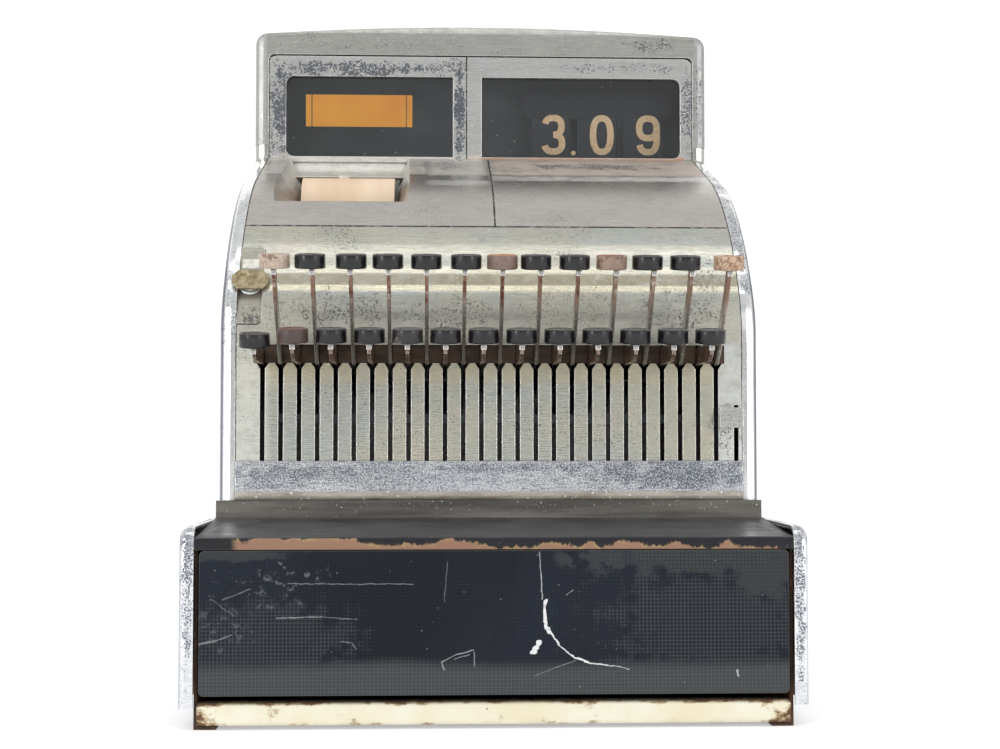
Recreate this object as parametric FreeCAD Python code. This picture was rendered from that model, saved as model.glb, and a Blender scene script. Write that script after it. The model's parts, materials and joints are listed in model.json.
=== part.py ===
import FreeCAD, Part
import math
import os

os.makedirs("parts", exist_ok=True)
V = FreeCAD.Vector

# Overall size. X runs across the front, Y runs from the front to the back, Z stands up.
overall_width = 400.0
overall_depth = 402.7
cabinet_inset = 11.0

# Fits and clearances
seam_gap = 0.3
running_fit = 0.05
slide_gap = 0.3
cut_over = 2.0

# Base pan, rail and skirts
pan_sheet = 2.0
pan_wall_height = 114.0
foot_width = 14.0
floor_lift = 3.0
skirt_width = 9.5
skirt_lift = 14.0
skirt_rise = 9.5
skirt_round = 4.4
skirt_corner = 12.0
skirt_sheet = 1.5
rail_height = 14.0
rail_thickness = 11.0
rail_setback = 2.4
rail_round = 3.0
pan_front_setback = 5.4
runner_height = 60.0
runner_depth = 8.0

# Bed plate and ledge cover
bed_thickness = 4.0
ledge_depth = 102.7
ledge_front_rise = 3.0
ledge_back_rise = 10.6
ledge_sheet = 1.5
ledge_nose_round = 3.0
riser_rise = 22.5
lip_drop = 0.8
ledge_end_gap = 0.3

# Cabinet curve: an upright front, a tight brow, a long crown, then a straight slope up to the window sill
brow_height = 255.5
brow_radius = 62.0
brow_angle = 30.0
slope_normal_angle = 70.0
slope_run = 87.4
seam_angle = 47.0
panel_rise = 10.9
panel_width = 11.5
panel_sheet = 1.5
panel_round = 8.0
cover_sheet = 2.5
back_sheet = 1.5
rim_flat_count = 3
hidden_flat_count = 1

# Trim band and its moulding
moulding_height = 6.2
moulding_proud = 3.0
band_height = 21.0
band_proud = 1.2

# Key slots: a comb of teeth under an open window that the levers stand in
slot_count = 26
slot_width = 3.4
slot_brow_gap = 6.5
key_field_margin = 18.45
comb_window_height = 13.0
comb_window_margin = 6.0
flare_height = 4.0
flare_width = 8.4

# Keys
lever_thickness = 2.4
lever_height = 12.0
lever_top_gap = 2.0
eye_half = 9.0
key_shaft_radius = 5.0
key_shaft_back_gap = 48.5
key_shaft_drop = 21.0
cap_gap = 2.4
cap_thickness = 9.5
cap_tilt = 10.0
cap_reach = 53.0
upper_cap_rise = 52.5
lower_cap_rise = 3.0
stem_half = 4.5
stem_bow = 4.0
upper_cap_lean_shares = (0.01, -0.06, 0.02, -0.02, -0.01, 0.04, -0.01, -0.12, -0.10, -0.12, -0.17, -0.16, 0.0)
lower_cap_drop_shares = (0.35, 0.0, 0.0, 0.0, 0.0, 0.0, 0.0, 0.0, 0.0, 0.0, 0.0, 0.0, 0.0)

# Mechanism frame, deck and key springs
frame_key_gap = 5.25
frame_thickness = 4.0
frame_front_setback = 8.0
frame_back_gap = 13.5
frame_shoulder_drop = 5.5
frame_roof_gap = 6.6
deck_thickness = 3.0
spring_bar_gap = 80.0
spring_bar_drop = 32.0
spring_bar_side = 8.0
spring_leaf = 0.8
spring_leaf_width = 5.0
spring_reach = 70.0

# Release lever
release_margin = 4.2
release_pivot_setback = 110.0
release_pivot_drop = 11.0
release_pin_radius = 4.0
release_arm_height = 8.0
release_slot_height = 39.3
release_tip_width = 16.5
release_tip_height = 14.0
release_tip_sheet = 2.0
release_tip_reach = 8.0
release_eye_half = 8.0

# Lock
lock_plate_width = 16.7
lock_low_angle = 6.95
lock_high_angle = 40.46
lock_plate_thickness = 3.0
lock_plate_round = 3.0
lock_plug_radius = 6.8
lock_plug_proud = 6.5
lock_plug_length = 12.0
lock_bow_width = 26.0
lock_bow_height = 18.0
lock_bow_thickness = 2.0
keyhole_radius = 2.2

# Printer lid, its pocket and the window frames
frame_sheet = 4.0
lid_right_edge = 5.0
lid_frame_right_edge = -12.8
frame_drop = 27.1
frame_foot = 3.2
frame_edge_gap = 1.3
frame_round = 7.0
frame_swing_room = 2.0
hinge_pin_radius = 1.2
hinge_pin_length = 3.0
hinge_drop = 1.5
sill_rise = 1.4
window_drop = 16.9
lid_window_margin = 14.2
lid_window_right = -24.0
price_window_left = 0.0
price_window_margin = 10.2
window_round = 6.6
glass_thickness = 2.0
glass_margin = 4.0
pocket_margin = 18.2
pocket_width = 98.5
pocket_left_draft = 13.0
pocket_right_draft = 8.5
pocket_wall_depth = 20.0
pocket_wall = 2.0
pocket_front_angle = 56.2
lip_reach = 23.6
lip_edge_drop = 19.2
lip_sheet = 1.8
lip_bow = 5.0

# Indicator hood
hood_depth = 86.4
hood_height = 112.8
hood_crown = 6.6
hood_corner = 10.0
hood_round = 7.0
hood_sheet = 2.5
rear_window_margin = 39.0
rear_window_rise = 11.6
rear_window_drop = 30.0
screen_gap = 22.0
screen_sheet = 1.2

# Indicator flags
flag_sheet = 1.2
digit_flag_width = 33.0
digit_flag_height = 38.5
digit_flag_pitch = 39.5
digit_flag_margin = 67.5
word_flag_margin = 2.0
word_flag_width = 128.0
word_flag_height = 25.0
flag_depth = 28.4
word_flag_step = 8.0
stem_width = 6.0
stem_reach = 8.0
guide_rise = 14.0
guide_sheet = 3.0
guide_margin = 14.0

# Receipt roll
roll_radius = 30.0
roll_width = 73.0
roll_window_gap = 48.6
roll_depth = 37.5
roll_shift = 2.25
roll_floor_gap = 11.0
spindle_radius = 6.0
bracket_sheet = 2.0
bracket_gap = 2.5
bracket_half = 9.0

# Drawer
drawer_front_thickness = 16.0
drawer_front_side_gap = 1.5
drawer_front_foot_gap = 4.6
drawer_front_top_gap = 1.4
drawer_front_round = 3.2
drawer_box_side_gap = 12.5
drawer_box_foot_gap = 3.0
drawer_box_top_gap = 10.0
drawer_back_drop = 8.0
drawer_back_room = 39.7
drawer_sheet = 1.5
runner_sheet = 2.0
tray_height = 62.0
tray_wall = 4.0
tray_floor = 3.0
tray_gap = 1.0
cup_count = 5
cup_length = 112.0
latch_drop = 14.0
latch_pin_radius = 2.5
latch_thickness = 4.0
latch_setback = 20.0
latch_tooth = 2.8
latch_bite = 5.0
latch_arm_half = 2.5
bow_spring_width = 20.0
bow_spring_sheet = 1.2
bow_spring_half_span = 60.0
bow_spring_nose = 12.0
bow_spring_margin = 6.0

# Places that follow from the sizes: the base and the cabinet's width
half_width = overall_width / 2
half_cabinet = half_width - cabinet_inset
front_y = -overall_depth / 2
back_y = overall_depth / 2
comb_y = front_y + ledge_depth
window_y = back_y - hood_depth
pan_half = half_width - skirt_width
rail_top = floor_lift + rail_height
bed_top = pan_wall_height + bed_thickness
skirt_top = bed_top + skirt_rise
ledge_front_top = bed_top + ledge_front_rise
ledge_back_top = bed_top + ledge_back_rise
riser_top = bed_top + riser_rise
lip_bottom = pan_wall_height - lip_drop
cover_half = half_cabinet - panel_width - seam_gap
panel_back_y = back_y - back_sheet

# The front curve's centres and heights
brow_turn = math.radians(brow_angle)
slope_normal = math.radians(slope_normal_angle)
slope_tilt = math.radians(90.0 - slope_normal_angle)
curve_reach = window_y - comb_y - slope_run
crown_reach = curve_reach - brow_radius * (1 - math.cos(brow_turn))
crown_radius = crown_reach / (math.cos(brow_turn) - math.cos(slope_normal))
brow_centre_y = comb_y + brow_radius
crown_centre_y = brow_centre_y + (crown_radius - brow_radius) * math.cos(brow_turn)
crown_centre_z = brow_height - (crown_radius - brow_radius) * math.sin(brow_turn)
sill_z = crown_centre_z + crown_radius * math.sin(slope_normal) + slope_run * math.tan(slope_tilt)
panel_top = sill_z + panel_rise

# Slots, levers and shafts
band_bottom = riser_top + moulding_height
slot_bottom = band_bottom + band_height
slot_top = brow_height - slot_brow_gap
tooth_top = slot_top - comb_window_height
slot_pitch = 2 * (cover_half - key_field_margin) / (slot_count - 1)
cap_radius = slot_pitch - cap_gap
upper_cap_height = slot_top + upper_cap_rise
lower_cap_height = slot_top + lower_cap_rise
lever_top = slot_top - lever_top_gap
lever_bottom = lever_top - lever_height
shaft_y = panel_back_y - key_shaft_back_gap
shaft_z = slot_top - key_shaft_drop
spring_bar_y = shaft_y - spring_bar_gap
spring_bar_z = shaft_z - spring_bar_drop
release_x = cover_half - release_margin
release_slot_top = slot_bottom + release_slot_height
release_pivot_z = release_slot_top - release_pivot_drop

# Hood, windows, pocket, roll and flags
hood_bottom = panel_top + seam_gap
hood_top = sill_z + hood_height
frame_top = hood_top - frame_drop
frame_bottom = sill_z - frame_foot
window_bottom = sill_z + sill_rise
window_top = frame_top - window_drop
lid_window_left = -cover_half + lid_window_margin
price_window_right = cover_half - price_window_margin
rear_window_half = half_cabinet - rear_window_margin
rear_window_low = hood_bottom + rear_window_rise
rear_window_high = hood_top - rear_window_drop
pocket_left = -cover_half + pocket_margin
pocket_right = pocket_left + pocket_width
lip_edge_y = window_y - lip_reach
lip_edge_z = sill_z - lip_edge_drop
roll_x = (pocket_left + pocket_right) / 2 + roll_shift
roll_y = window_y - roll_window_gap
roll_z = sill_z - roll_window_gap * math.tan(slope_tilt) - roll_depth
deck_top = roll_z - roll_radius - roll_floor_gap
deck_z = deck_top - deck_thickness
guide_z = deck_top + guide_rise
flag_y = window_y + flag_depth
word_flag_y = flag_y + word_flag_step
screen_y = word_flag_y + flag_sheet + screen_gap
middle_digit_x = price_window_right - digit_flag_margin
word_flag_right = price_window_right - word_flag_margin
word_flag_left = word_flag_right - word_flag_width
word_flag_top = window_top - word_flag_margin
word_flag_bottom = word_flag_top - word_flag_height
digit_flag_top = window_bottom + digit_flag_height
stem_bottom = deck_z - stem_reach

# Mechanism frame
frame_inner_x = cover_half - key_field_margin + frame_key_gap
frame_outer_x = frame_inner_x + frame_thickness
frame_back_y = panel_back_y - frame_back_gap
frame_shoulder_z = brow_height - frame_shoulder_drop
roof_reach = crown_radius - cover_sheet - frame_roof_gap
frame_shoulder_y = crown_centre_y - math.sqrt(roof_reach ** 2 - (deck_top - crown_centre_z) ** 2)

# Drawer and its latch
drawer_front_half = pan_half - pan_sheet - drawer_front_side_gap
drawer_front_bottom = rail_top + drawer_front_foot_gap
drawer_front_top = pan_wall_height - drawer_front_top_gap
drawer_front_back_y = front_y + drawer_front_thickness
drawer_box_half = pan_half - pan_sheet - drawer_box_side_gap
drawer_box_bottom = rail_top + drawer_box_foot_gap
drawer_box_top = pan_wall_height - drawer_box_top_gap
drawer_back_top = drawer_box_top - drawer_back_drop
drawer_back_y = back_y - pan_sheet - drawer_back_room
tray_half = drawer_box_half - drawer_sheet - tray_gap
tray_front_y = drawer_front_back_y + drawer_sheet + tray_gap
tray_back_y = drawer_back_y - drawer_sheet - tray_gap
tray_bottom = drawer_box_bottom + drawer_sheet
tray_top = tray_bottom + tray_height
latch_y = drawer_back_y + latch_setback
latch_z = pan_wall_height - latch_drop
bow_spring_x = drawer_box_half - bow_spring_half_span - bow_spring_margin


# Small makers of shapes

def box(x0, x1, y0, y1, z0, z1):
    return Part.makeBox(x1 - x0, y1 - y0, z1 - z0, V(x0, y0, z0))


def at_x(x):
    return lambda y, z: V(x, y, z)


def at_y(y):
    return lambda x, z: V(x, y, z)


def at_z(z):
    return lambda x, y: V(x, y, z)


def outline(place, start, steps):
    """A closed wire. A step is the next corner, or a pair: a point on an arc and the arc's end."""
    edges = []
    here = start
    for step in steps + [start]:
        if isinstance(step[0], tuple):
            middle, end = step
            edges.append(Part.Arc(place(*here), place(*middle), place(*end)).toShape())
        else:
            end = step
            edges.append(Part.LineSegment(place(*here), place(*end)).toShape())
        here = end
    return Part.Wire(edges)


def prism_x(x0, x1, start, steps):
    return Part.Face(outline(at_x(x0), start, steps)).extrude(V(x1 - x0, 0, 0))


def prism_y(y0, y1, start, steps):
    return Part.Face(outline(at_y(y0), start, steps)).extrude(V(0, y1 - y0, 0))


def rod_x(x0, x1, y, z, radius):
    return Part.makeCylinder(radius, x1 - x0, V(x0, y, z), V(1, 0, 0))


def union(shapes):
    first = shapes[0]
    return first.fuse(shapes[1:]).removeSplitter()


def mirrored(shape):
    return shape.mirror(V(0, 0, 0), V(1, 0, 0))


def rimmed_block(place_at, section, back, front, radius, flat_count):
    """A block between two planes whose front rim is turned over in flats, each a ruled strip."""
    toward = 1 if front > back else -1
    wires = [outline(place_at(back), *section(0))]
    for flat in range(flat_count + 1):
        turn = math.pi / 2 * flat / flat_count
        behind = radius * (1 - math.sin(turn))
        inward = radius * (1 - math.cos(turn))
        wires.append(outline(place_at(front - toward * behind), *section(inward)))
    return Part.makeLoft(wires, True, True)


def rounded_at(block, corners, radius):
    """The block with its edges along Y rounded where they run through the corners, each an (x, z)."""
    picked = []
    for edge in block.Edges:
        centre = edge.CenterOfMass
        if any(math.hypot(centre.x - x, centre.z - z) < running_fit for x, z in corners):
            picked.append(edge)
    return block.makeFillet(radius, picked)


def rounded_window(x0, x1, z0, z1, y0, y1, round_sides):
    """A rectangular hole whose corners are round on the sides named by their x."""
    corners = [(x, z) for x in round_sides for z in (z0, z1)]
    return rounded_at(box(x0, x1, y0, y1, z0, z1), corners, window_round)


# The cabinet's front curve

def curve_point(angle, inset):
    """A point of the curve, drawn in by inset, where the outward normal rises by angle."""
    normal_y = -math.cos(math.radians(angle))
    normal_z = math.sin(math.radians(angle))
    if angle <= brow_angle:
        reach = brow_radius - inset
        return (brow_centre_y + reach * normal_y, brow_height + reach * normal_z)
    reach = crown_radius - inset
    return (crown_centre_y + reach * normal_y, crown_centre_z + reach * normal_z)


def slope_z(y, inset):
    start_y, start_z = curve_point(slope_normal_angle, inset)
    return start_z + (y - start_y) * math.tan(slope_tilt)


def front_strip(outer, inner, bottom):
    """Section of the front cover, from its foot to the seam."""
    brow_middle = brow_angle / 2
    crown_middle = (brow_angle + seam_angle) / 2
    start = (comb_y + outer, bottom)
    steps = [
        (comb_y + outer, brow_height),
        (curve_point(brow_middle, outer), curve_point(brow_angle, outer)),
        (curve_point(crown_middle, outer), curve_point(seam_angle, outer)),
        curve_point(seam_angle, inner),
        (curve_point(crown_middle, inner), curve_point(brow_angle, inner)),
        (curve_point(brow_middle, inner), (comb_y + inner, brow_height)),
        (comb_y + inner, bottom),
    ]
    return start, steps


def top_strip(outer, inner, end_y):
    """Section of the top covers, from the seam to the windows."""
    first = seam_angle + math.degrees(seam_gap / crown_radius)
    middle = (first + slope_normal_angle) / 2
    start = curve_point(first, outer)
    steps = [
        (curve_point(middle, outer), curve_point(slope_normal_angle, outer)),
        (end_y, slope_z(end_y, outer)),
        (end_y, slope_z(end_y, inner)),
        curve_point(slope_normal_angle, inner),
        (curve_point(middle, inner), curve_point(first, inner)),
    ]
    return start, steps


def panel_outline(inset, sheet):
    """Outline of a side panel: its front drawn in by inset, its foot, back and top by sheet."""
    step_y = window_y + inset
    crown_middle = (brow_angle + slope_normal_angle) / 2
    start = (comb_y + inset, ledge_back_top + sheet)
    steps = [
        (comb_y + inset, brow_height),
        (curve_point(brow_angle / 2, inset), curve_point(brow_angle, inset)),
        (curve_point(crown_middle, inset), curve_point(slope_normal_angle, inset)),
        (step_y, slope_z(step_y, inset)),
        (step_y, panel_top - sheet),
        (panel_back_y - sheet, panel_top - sheet),
        (panel_back_y - sheet, ledge_back_top + sheet),
    ]
    return start, steps


# Base

def base_pan():
    front = front_y + pan_front_setback
    wall = box(pan_half - pan_sheet, pan_half, front, back_y, 0, pan_wall_height)
    foot = box(pan_half - foot_width, pan_half, front, back_y, 0, pan_sheet)
    shelf_x = pan_half - pan_sheet - runner_depth
    shelf_y = drawer_front_back_y + runner_depth
    lower = box(shelf_x, pan_half, shelf_y, back_y, runner_height - runner_sheet, runner_height)
    upper_z = runner_height + runner_sheet + 2 * slide_gap
    upper = box(shelf_x, pan_half, shelf_y, back_y, upper_z, upper_z + runner_sheet)
    side = union([wall, foot, lower, upper])
    floor_front = front_y + rail_setback + rail_thickness
    floor = box(-pan_half, pan_half, floor_front, back_y, floor_lift, floor_lift + pan_sheet)
    back = box(-pan_half, pan_half, back_y - pan_sheet, back_y, floor_lift, pan_wall_height)
    return union([side, mirrored(side), floor, back])


def base_rail():
    half = pan_half - pan_sheet - seam_gap
    y0 = front_y + rail_setback
    y1 = y0 + rail_thickness
    turn = rail_round * (1 - math.cos(math.radians(45)))
    start = (y0, floor_lift)
    steps = [
        (y0, rail_top - rail_round),
        ((y0 + turn, rail_top - turn), (y0 + rail_round, rail_top)),
        (y1, rail_top),
        (y1, floor_lift),
    ]
    return prism_x(-half, half, start, steps)


def skirt_outline(inset, corner):
    """Outline of a side skirt, drawn in by inset at its front and top."""
    turn = 1 - math.cos(math.radians(45))
    y0 = front_y + inset
    top = skirt_top - inset
    start = (y0, skirt_lift)
    steps = [
        (y0, top - corner),
        ((y0 + corner * turn, top - corner * turn), (y0 + corner, top)),
        (back_y, top),
        (back_y, skirt_lift),
    ]
    return start, steps


def skirt():
    """One bright side skirt, a pressed shell with a rounded front and top."""

    def outer_section(inset):
        return skirt_outline(inset, skirt_corner - inset)

    def inner_section(inset):
        return outer_section(skirt_sheet + inset)

    outer = rimmed_block(at_x, outer_section, pan_half, half_width, skirt_round, rim_flat_count)
    inner_x = half_width - skirt_sheet
    inner_round = skirt_round - skirt_sheet
    inner = rimmed_block(at_x, inner_section, pan_half - cut_over, inner_x, inner_round, hidden_flat_count)
    lower = box(pan_half, inner_x, front_y + skirt_corner, back_y + cut_over, 0, skirt_lift + cut_over)
    return outer.cut([inner, lower])


def side_skirts():
    right = skirt()
    return Part.makeCompound([right, mirrored(right)])


def bed_plate():
    """The floor of the cabinet, with the drawer latch's lugs and pin under it."""
    plate = box(-pan_half, pan_half, front_y + ledge_sheet, back_y, pan_wall_height, bed_top)
    lug_x = latch_thickness / 2 + slide_gap
    lug_half = 2 * latch_pin_radius
    pin_end = lug_x + latch_thickness
    lug = box(lug_x, pin_end, latch_y - lug_half, latch_y + lug_half, latch_z - lug_half, pan_wall_height)
    pin = rod_x(-pin_end, pin_end, latch_y, latch_z, latch_pin_radius)
    return union([plate, lug, mirrored(lug), pin])


def ledge_cover():
    half = pan_half - ledge_end_gap
    riser_y = comb_y - ledge_sheet
    nose = ledge_nose_round
    turn = nose * (1 - math.cos(math.radians(45)))
    start = (front_y, lip_bottom)
    steps = [
        (front_y, ledge_front_top - nose),
        ((front_y + turn, ledge_front_top - turn), (front_y + nose, ledge_front_top)),
        (riser_y, ledge_back_top),
        (riser_y, riser_top),
        (comb_y, riser_top),
        (comb_y, bed_top),
        (front_y + ledge_sheet, bed_top),
        (front_y + ledge_sheet, lip_bottom),
    ]
    front = prism_x(-half, half, start, steps)
    inside = half - ledge_sheet
    hollow_front = front_y + nose + ledge_sheet
    start = (hollow_front, bed_top)
    steps = [
        (hollow_front, ledge_front_top - ledge_sheet),
        (riser_y, ledge_back_top - ledge_sheet),
        (riser_y, bed_top),
    ]
    front = front.cut(prism_x(-inside, inside, start, steps))
    arm_inner = half_cabinet - panel_width
    top = box(arm_inner, half, comb_y, back_y, ledge_back_top - ledge_sheet, ledge_back_top)
    web = box(inside, half, comb_y, back_y, bed_top, ledge_back_top)
    rear = box(-half, half, panel_back_y, back_y, bed_top, ledge_back_top)
    return union([front, top, web, mirrored(top), mirrored(web), rear])


# Cabinet

def side_panel():
    """The right side panel: a pressed shell whose front rim is turned over."""

    def outer_section(inset):
        return panel_outline(inset, 0)

    def inner_section(inset):
        return panel_outline(panel_sheet + inset, panel_sheet)

    rim_x = half_cabinet - panel_width
    outer = rimmed_block(at_x, outer_section, rim_x, half_cabinet, panel_round, rim_flat_count)
    inner_x = half_cabinet - panel_sheet
    inner_round = panel_round - panel_sheet
    inner = rimmed_block(at_x, inner_section, rim_x - cut_over, inner_x, inner_round, hidden_flat_count)
    doorway = box(
        rim_x - cut_over,
        half_cabinet - panel_round,
        window_y + frame_sheet + glass_thickness,
        panel_back_y + cut_over,
        panel_top - panel_round,
        panel_top + cut_over,
    )
    return outer.cut([inner, doorway])


def slot_x(index):
    return (index - (slot_count - 1) / 2) * slot_pitch


def front_cover():
    """Sheet with the slots' comb, the levers' window over it, the release slot and the lock's seat."""
    start, steps = front_strip(0, cover_sheet, bed_top)
    shell = prism_x(-cover_half, cover_half, start, steps)
    y0 = comb_y - cut_over
    y1 = comb_y + cover_sheet + cut_over
    half_slot = slot_width / 2
    flare = flare_width / 2
    cuts = []
    for index in range(slot_count):
        x = slot_x(index)
        start = (x - half_slot, slot_bottom)
        steps = [
            (x + half_slot, slot_bottom),
            (x + half_slot, tooth_top - flare_height),
            (x + flare, tooth_top),
            (x - flare, tooth_top),
            (x - half_slot, tooth_top - flare_height),
        ]
        cuts.append(prism_y(y0, y1, start, steps))
    window_half = slot_x(slot_count - 1) + comb_window_margin
    cuts.append(box(-window_half, window_half, y0, y1, tooth_top, slot_top))
    release_left = release_x - half_slot
    cuts.append(box(release_left, release_left + slot_width, y0, y1, slot_bottom, release_slot_top))
    cuts.append(lock_plate_block(seam_gap, cover_sheet + cut_over + 2 * lock_plate_thickness))
    return shell.cut(cuts)


def lock_frame():
    """Middle, length and outward lean of the lock plate, a chord of the curve."""
    low_y, low_z = curve_point(lock_low_angle, 0)
    high_y, high_z = curve_point(lock_high_angle, 0)
    length = math.hypot(high_y - low_y, high_z - low_z)
    lean = math.degrees(math.atan2(high_y - low_y, high_z - low_z))
    return (low_y + high_y) / 2, (low_z + high_z) / 2, length, lean


def lock_plate_block(grow, depth):
    """A rounded block about the lock plate's middle."""
    middle_y, middle_z, length, lean = lock_frame()
    width = lock_plate_width + grow
    x0 = -cover_half
    z_half = length / 2 + grow
    block = box(x0, x0 + width, -depth / 2, depth / 2, -z_half, z_half)
    corners = []
    for edge in block.Edges:
        along_y = abs(edge.BoundBox.YLength - depth) < running_fit
        if along_y and edge.CenterOfMass.x > x0 + width / 2:
            corners.append(edge)
    block = block.makeFillet(lock_plate_round + grow, corners)
    block.rotate(V(0, 0, 0), V(1, 0, 0), -lean)
    block.translate(V(0, middle_y, middle_z))
    return block


def lock_axis():
    middle_y, middle_z, length, lean = lock_frame()
    x = -cover_half + lock_plate_width / 2
    normal = V(0, -math.cos(math.radians(lean)), math.sin(math.radians(lean)))
    return V(x, middle_y, middle_z), normal, lean


def lock_plate():
    plate = lock_plate_block(0, lock_plate_thickness)
    middle, normal, lean = lock_axis()
    start = middle - normal * lock_plug_length
    bore = Part.makeCylinder(lock_plug_radius + running_fit, 2 * lock_plug_length, start, normal)
    return plate.cut(bore)


def lock_key():
    """The lock's plug with its brass turn plate."""
    middle, normal, lean = lock_axis()
    back = middle - normal * (lock_plug_length - lock_plug_proud)
    plug = Part.makeCylinder(lock_plug_radius, lock_plug_length, back, normal)
    half_w = lock_bow_width / 2
    half_h = lock_bow_height / 2
    nip_w = half_w * 2 / 3
    nip_h = half_h / 3
    start = (-half_w, -nip_h)
    steps = [
        (-nip_w, -half_h),
        (nip_w, -half_h),
        (half_w, -nip_h),
        (half_w, nip_h),
        (nip_w, half_h),
        (-nip_w, half_h),
        (-half_w, nip_h),
    ]
    bow = prism_y(-lock_bow_thickness, 0, start, steps)
    hole_start = V(0, cut_over, half_h / 2)
    hole = Part.makeCylinder(keyhole_radius, lock_bow_thickness + 2 * cut_over, hole_start, V(0, -1, 0))
    bow = bow.cut(hole)
    bow.rotate(V(0, 0, 0), V(1, 0, 0), -lean)
    bow.translate(middle + normal * lock_plug_proud)
    return Part.makeCompound([plug, bow])


def trim_band():
    """A flat band over a round moulding, rolled from one strip."""
    moulding_y = comb_y - moulding_proud
    band_y = comb_y - band_proud
    start = (comb_y, riser_top)
    steps = [
        ((moulding_y, riser_top + moulding_height / 2), (band_y, band_bottom)),
        (band_y, slot_bottom),
        (comb_y, slot_bottom),
    ]
    return prism_x(-cover_half, cover_half, start, steps)


def right_top_cover():
    start, steps = top_strip(0, cover_sheet, window_y - seam_gap)
    return prism_x(lid_right_edge + seam_gap, cover_half, start, steps)


def hinge_place():
    return window_y + frame_sheet / 2, frame_top - hinge_drop


def frame_plate(left, right, round_side):
    """A window frame's plate, its top corner round on one side."""
    plate = box(left, right, window_y, window_y + frame_sheet, frame_bottom, frame_top)
    return rounded_at(plate, [(round_side, frame_top)], frame_round)


def pocket_prism(grow):
    """The receipt pocket's space: a trough that narrows downward, along the cover's slope."""
    front, front_z = curve_point(pocket_front_angle, 0)
    rise = slope_z(window_y, 0) - front_z
    run = window_y - front
    tilt = math.degrees(math.atan2(rise, run))
    start = (pocket_left + pocket_left_draft - grow, -pocket_wall_depth)
    steps = [
        (pocket_right - pocket_right_draft + grow, -pocket_wall_depth),
        (pocket_right + pocket_right_draft + grow, pocket_wall_depth),
        (pocket_left - pocket_left_draft - grow, pocket_wall_depth),
    ]
    trough = prism_y(0, math.hypot(rise, run), start, steps)
    trough.rotate(V(0, 0, 0), V(1, 0, 0), tilt)
    trough.translate(V(0, front, front_z))
    return trough


def printer_lid():
    """Left top cover, receipt pocket, tear-off lip and window frame, cast as one lid."""
    start, steps = top_strip(0, cover_sheet, window_y + frame_sheet / 2)
    shell = prism_x(-cover_half, lid_frame_right_edge, start, steps)
    start, steps = top_strip(0, cover_sheet, window_y - seam_gap)
    shell = shell.fuse(prism_x(lid_frame_right_edge, lid_right_edge, start, steps))
    start, steps = top_strip(cover_sheet / 2, cover_sheet + pocket_wall_depth, window_y)
    under = prism_x(-cover_half, lid_right_edge, start, steps)
    walls = pocket_prism(pocket_wall).cut(pocket_prism(0)).common(under)
    frame = frame_plate(-cover_half, lid_frame_right_edge, -cover_half)
    pin_y, pin_z = hinge_place()
    left_start = -cover_half - hinge_pin_length
    left_pin = rod_x(left_start, -cover_half + frame_round, pin_y, pin_z, hinge_pin_radius)
    right_end = lid_frame_right_edge + hinge_pin_length
    right_pin = rod_x(lid_frame_right_edge, right_end, pin_y, pin_z, hinge_pin_radius)
    lid = union([shell.cut(pocket_prism(0)), walls, frame, left_pin, right_pin, tear_lip()])
    y0 = window_y - cut_over
    y1 = window_y + frame_sheet + cut_over
    left = lid_window_left
    right = lid_window_right
    return lid.cut(rounded_window(left, right, window_bottom, window_top, y0, y1, [left]))


def tear_lip():
    """The curved lip that runs down from the window sill to a knife edge over the paper."""
    back = window_y + frame_sheet / 2
    middle_y = (lip_edge_y + back) / 2 + lip_bow
    middle_z = (lip_edge_z + window_bottom) / 2 - lip_bow
    start = (lip_edge_y, lip_edge_z)
    steps = [
        ((middle_y, middle_z), (back, window_bottom)),
        (back, window_bottom - 2 * lip_sheet),
        ((middle_y + lip_sheet, middle_z - lip_sheet), (lip_edge_y, lip_edge_z - lip_sheet / 2)),
    ]
    left = pocket_left - pocket_wall / 2
    right = pocket_right + pocket_wall / 2
    return prism_x(left, right, start, steps)


def glass_pane(left, right, low, high, y0):
    return box(
        left - glass_margin,
        right + glass_margin,
        y0,
        y0 + glass_thickness,
        low - glass_margin,
        high + glass_margin,
    )


def lid_glass():
    return glass_pane(lid_window_left, lid_window_right, window_bottom, window_top, window_y + frame_sheet)


def right_bezel():
    left = lid_frame_right_edge + seam_gap
    plate = frame_plate(left, cover_half, cover_half)
    pin_y, pin_z = hinge_place()
    bore_end = left + hinge_pin_length + seam_gap
    bore = rod_x(left - cut_over, bore_end, pin_y, pin_z, hinge_pin_radius + running_fit)
    x0 = price_window_left
    x1 = price_window_right
    y0 = window_y - cut_over
    y1 = window_y + frame_sheet + cut_over
    hole = rounded_window(x0, x1, window_bottom, window_top, y0, y1, [x1])
    return plate.cut([bore, hole])


def indicator_glass():
    front_y0 = window_y + frame_sheet
    price = glass_pane(price_window_left, price_window_right, window_bottom, window_top, front_y0)
    rear_y = back_y - hood_sheet - glass_thickness
    rear = glass_pane(-rear_window_half, rear_window_half, rear_window_low, rear_window_high, rear_y)
    return Part.makeCompound([price, rear])


def hood_outline(inset, bottom):
    """Section of the hood: upright sides, round corners and a crowned top, drawn in by inset."""
    half = half_cabinet - inset
    corner = hood_corner - inset
    flat = half_cabinet - hood_corner
    crown_circle = (flat ** 2 + hood_crown ** 2) / (2 * hood_crown)
    centre_z = hood_top - crown_circle
    reach = crown_circle - inset
    corner_z = centre_z + math.sqrt((crown_circle - hood_corner) ** 2 - flat ** 2)
    tilt = math.asin(flat / (crown_circle - hood_corner))
    crown_x = reach * math.sin(tilt)
    crown_z = centre_z + reach * math.cos(tilt)
    half_turn = (math.pi / 2 + tilt) / 2
    bend_x = flat + corner * math.sin(half_turn)
    bend_z = corner_z + corner * math.cos(half_turn)
    start = (-half, bottom)
    steps = [
        (-half, corner_z),
        ((-bend_x, bend_z), (-crown_x, crown_z)),
        ((0, centre_z + reach), (crown_x, crown_z)),
        ((bend_x, bend_z), (half, corner_z)),
        (half, bottom),
    ]
    return start, steps


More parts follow.
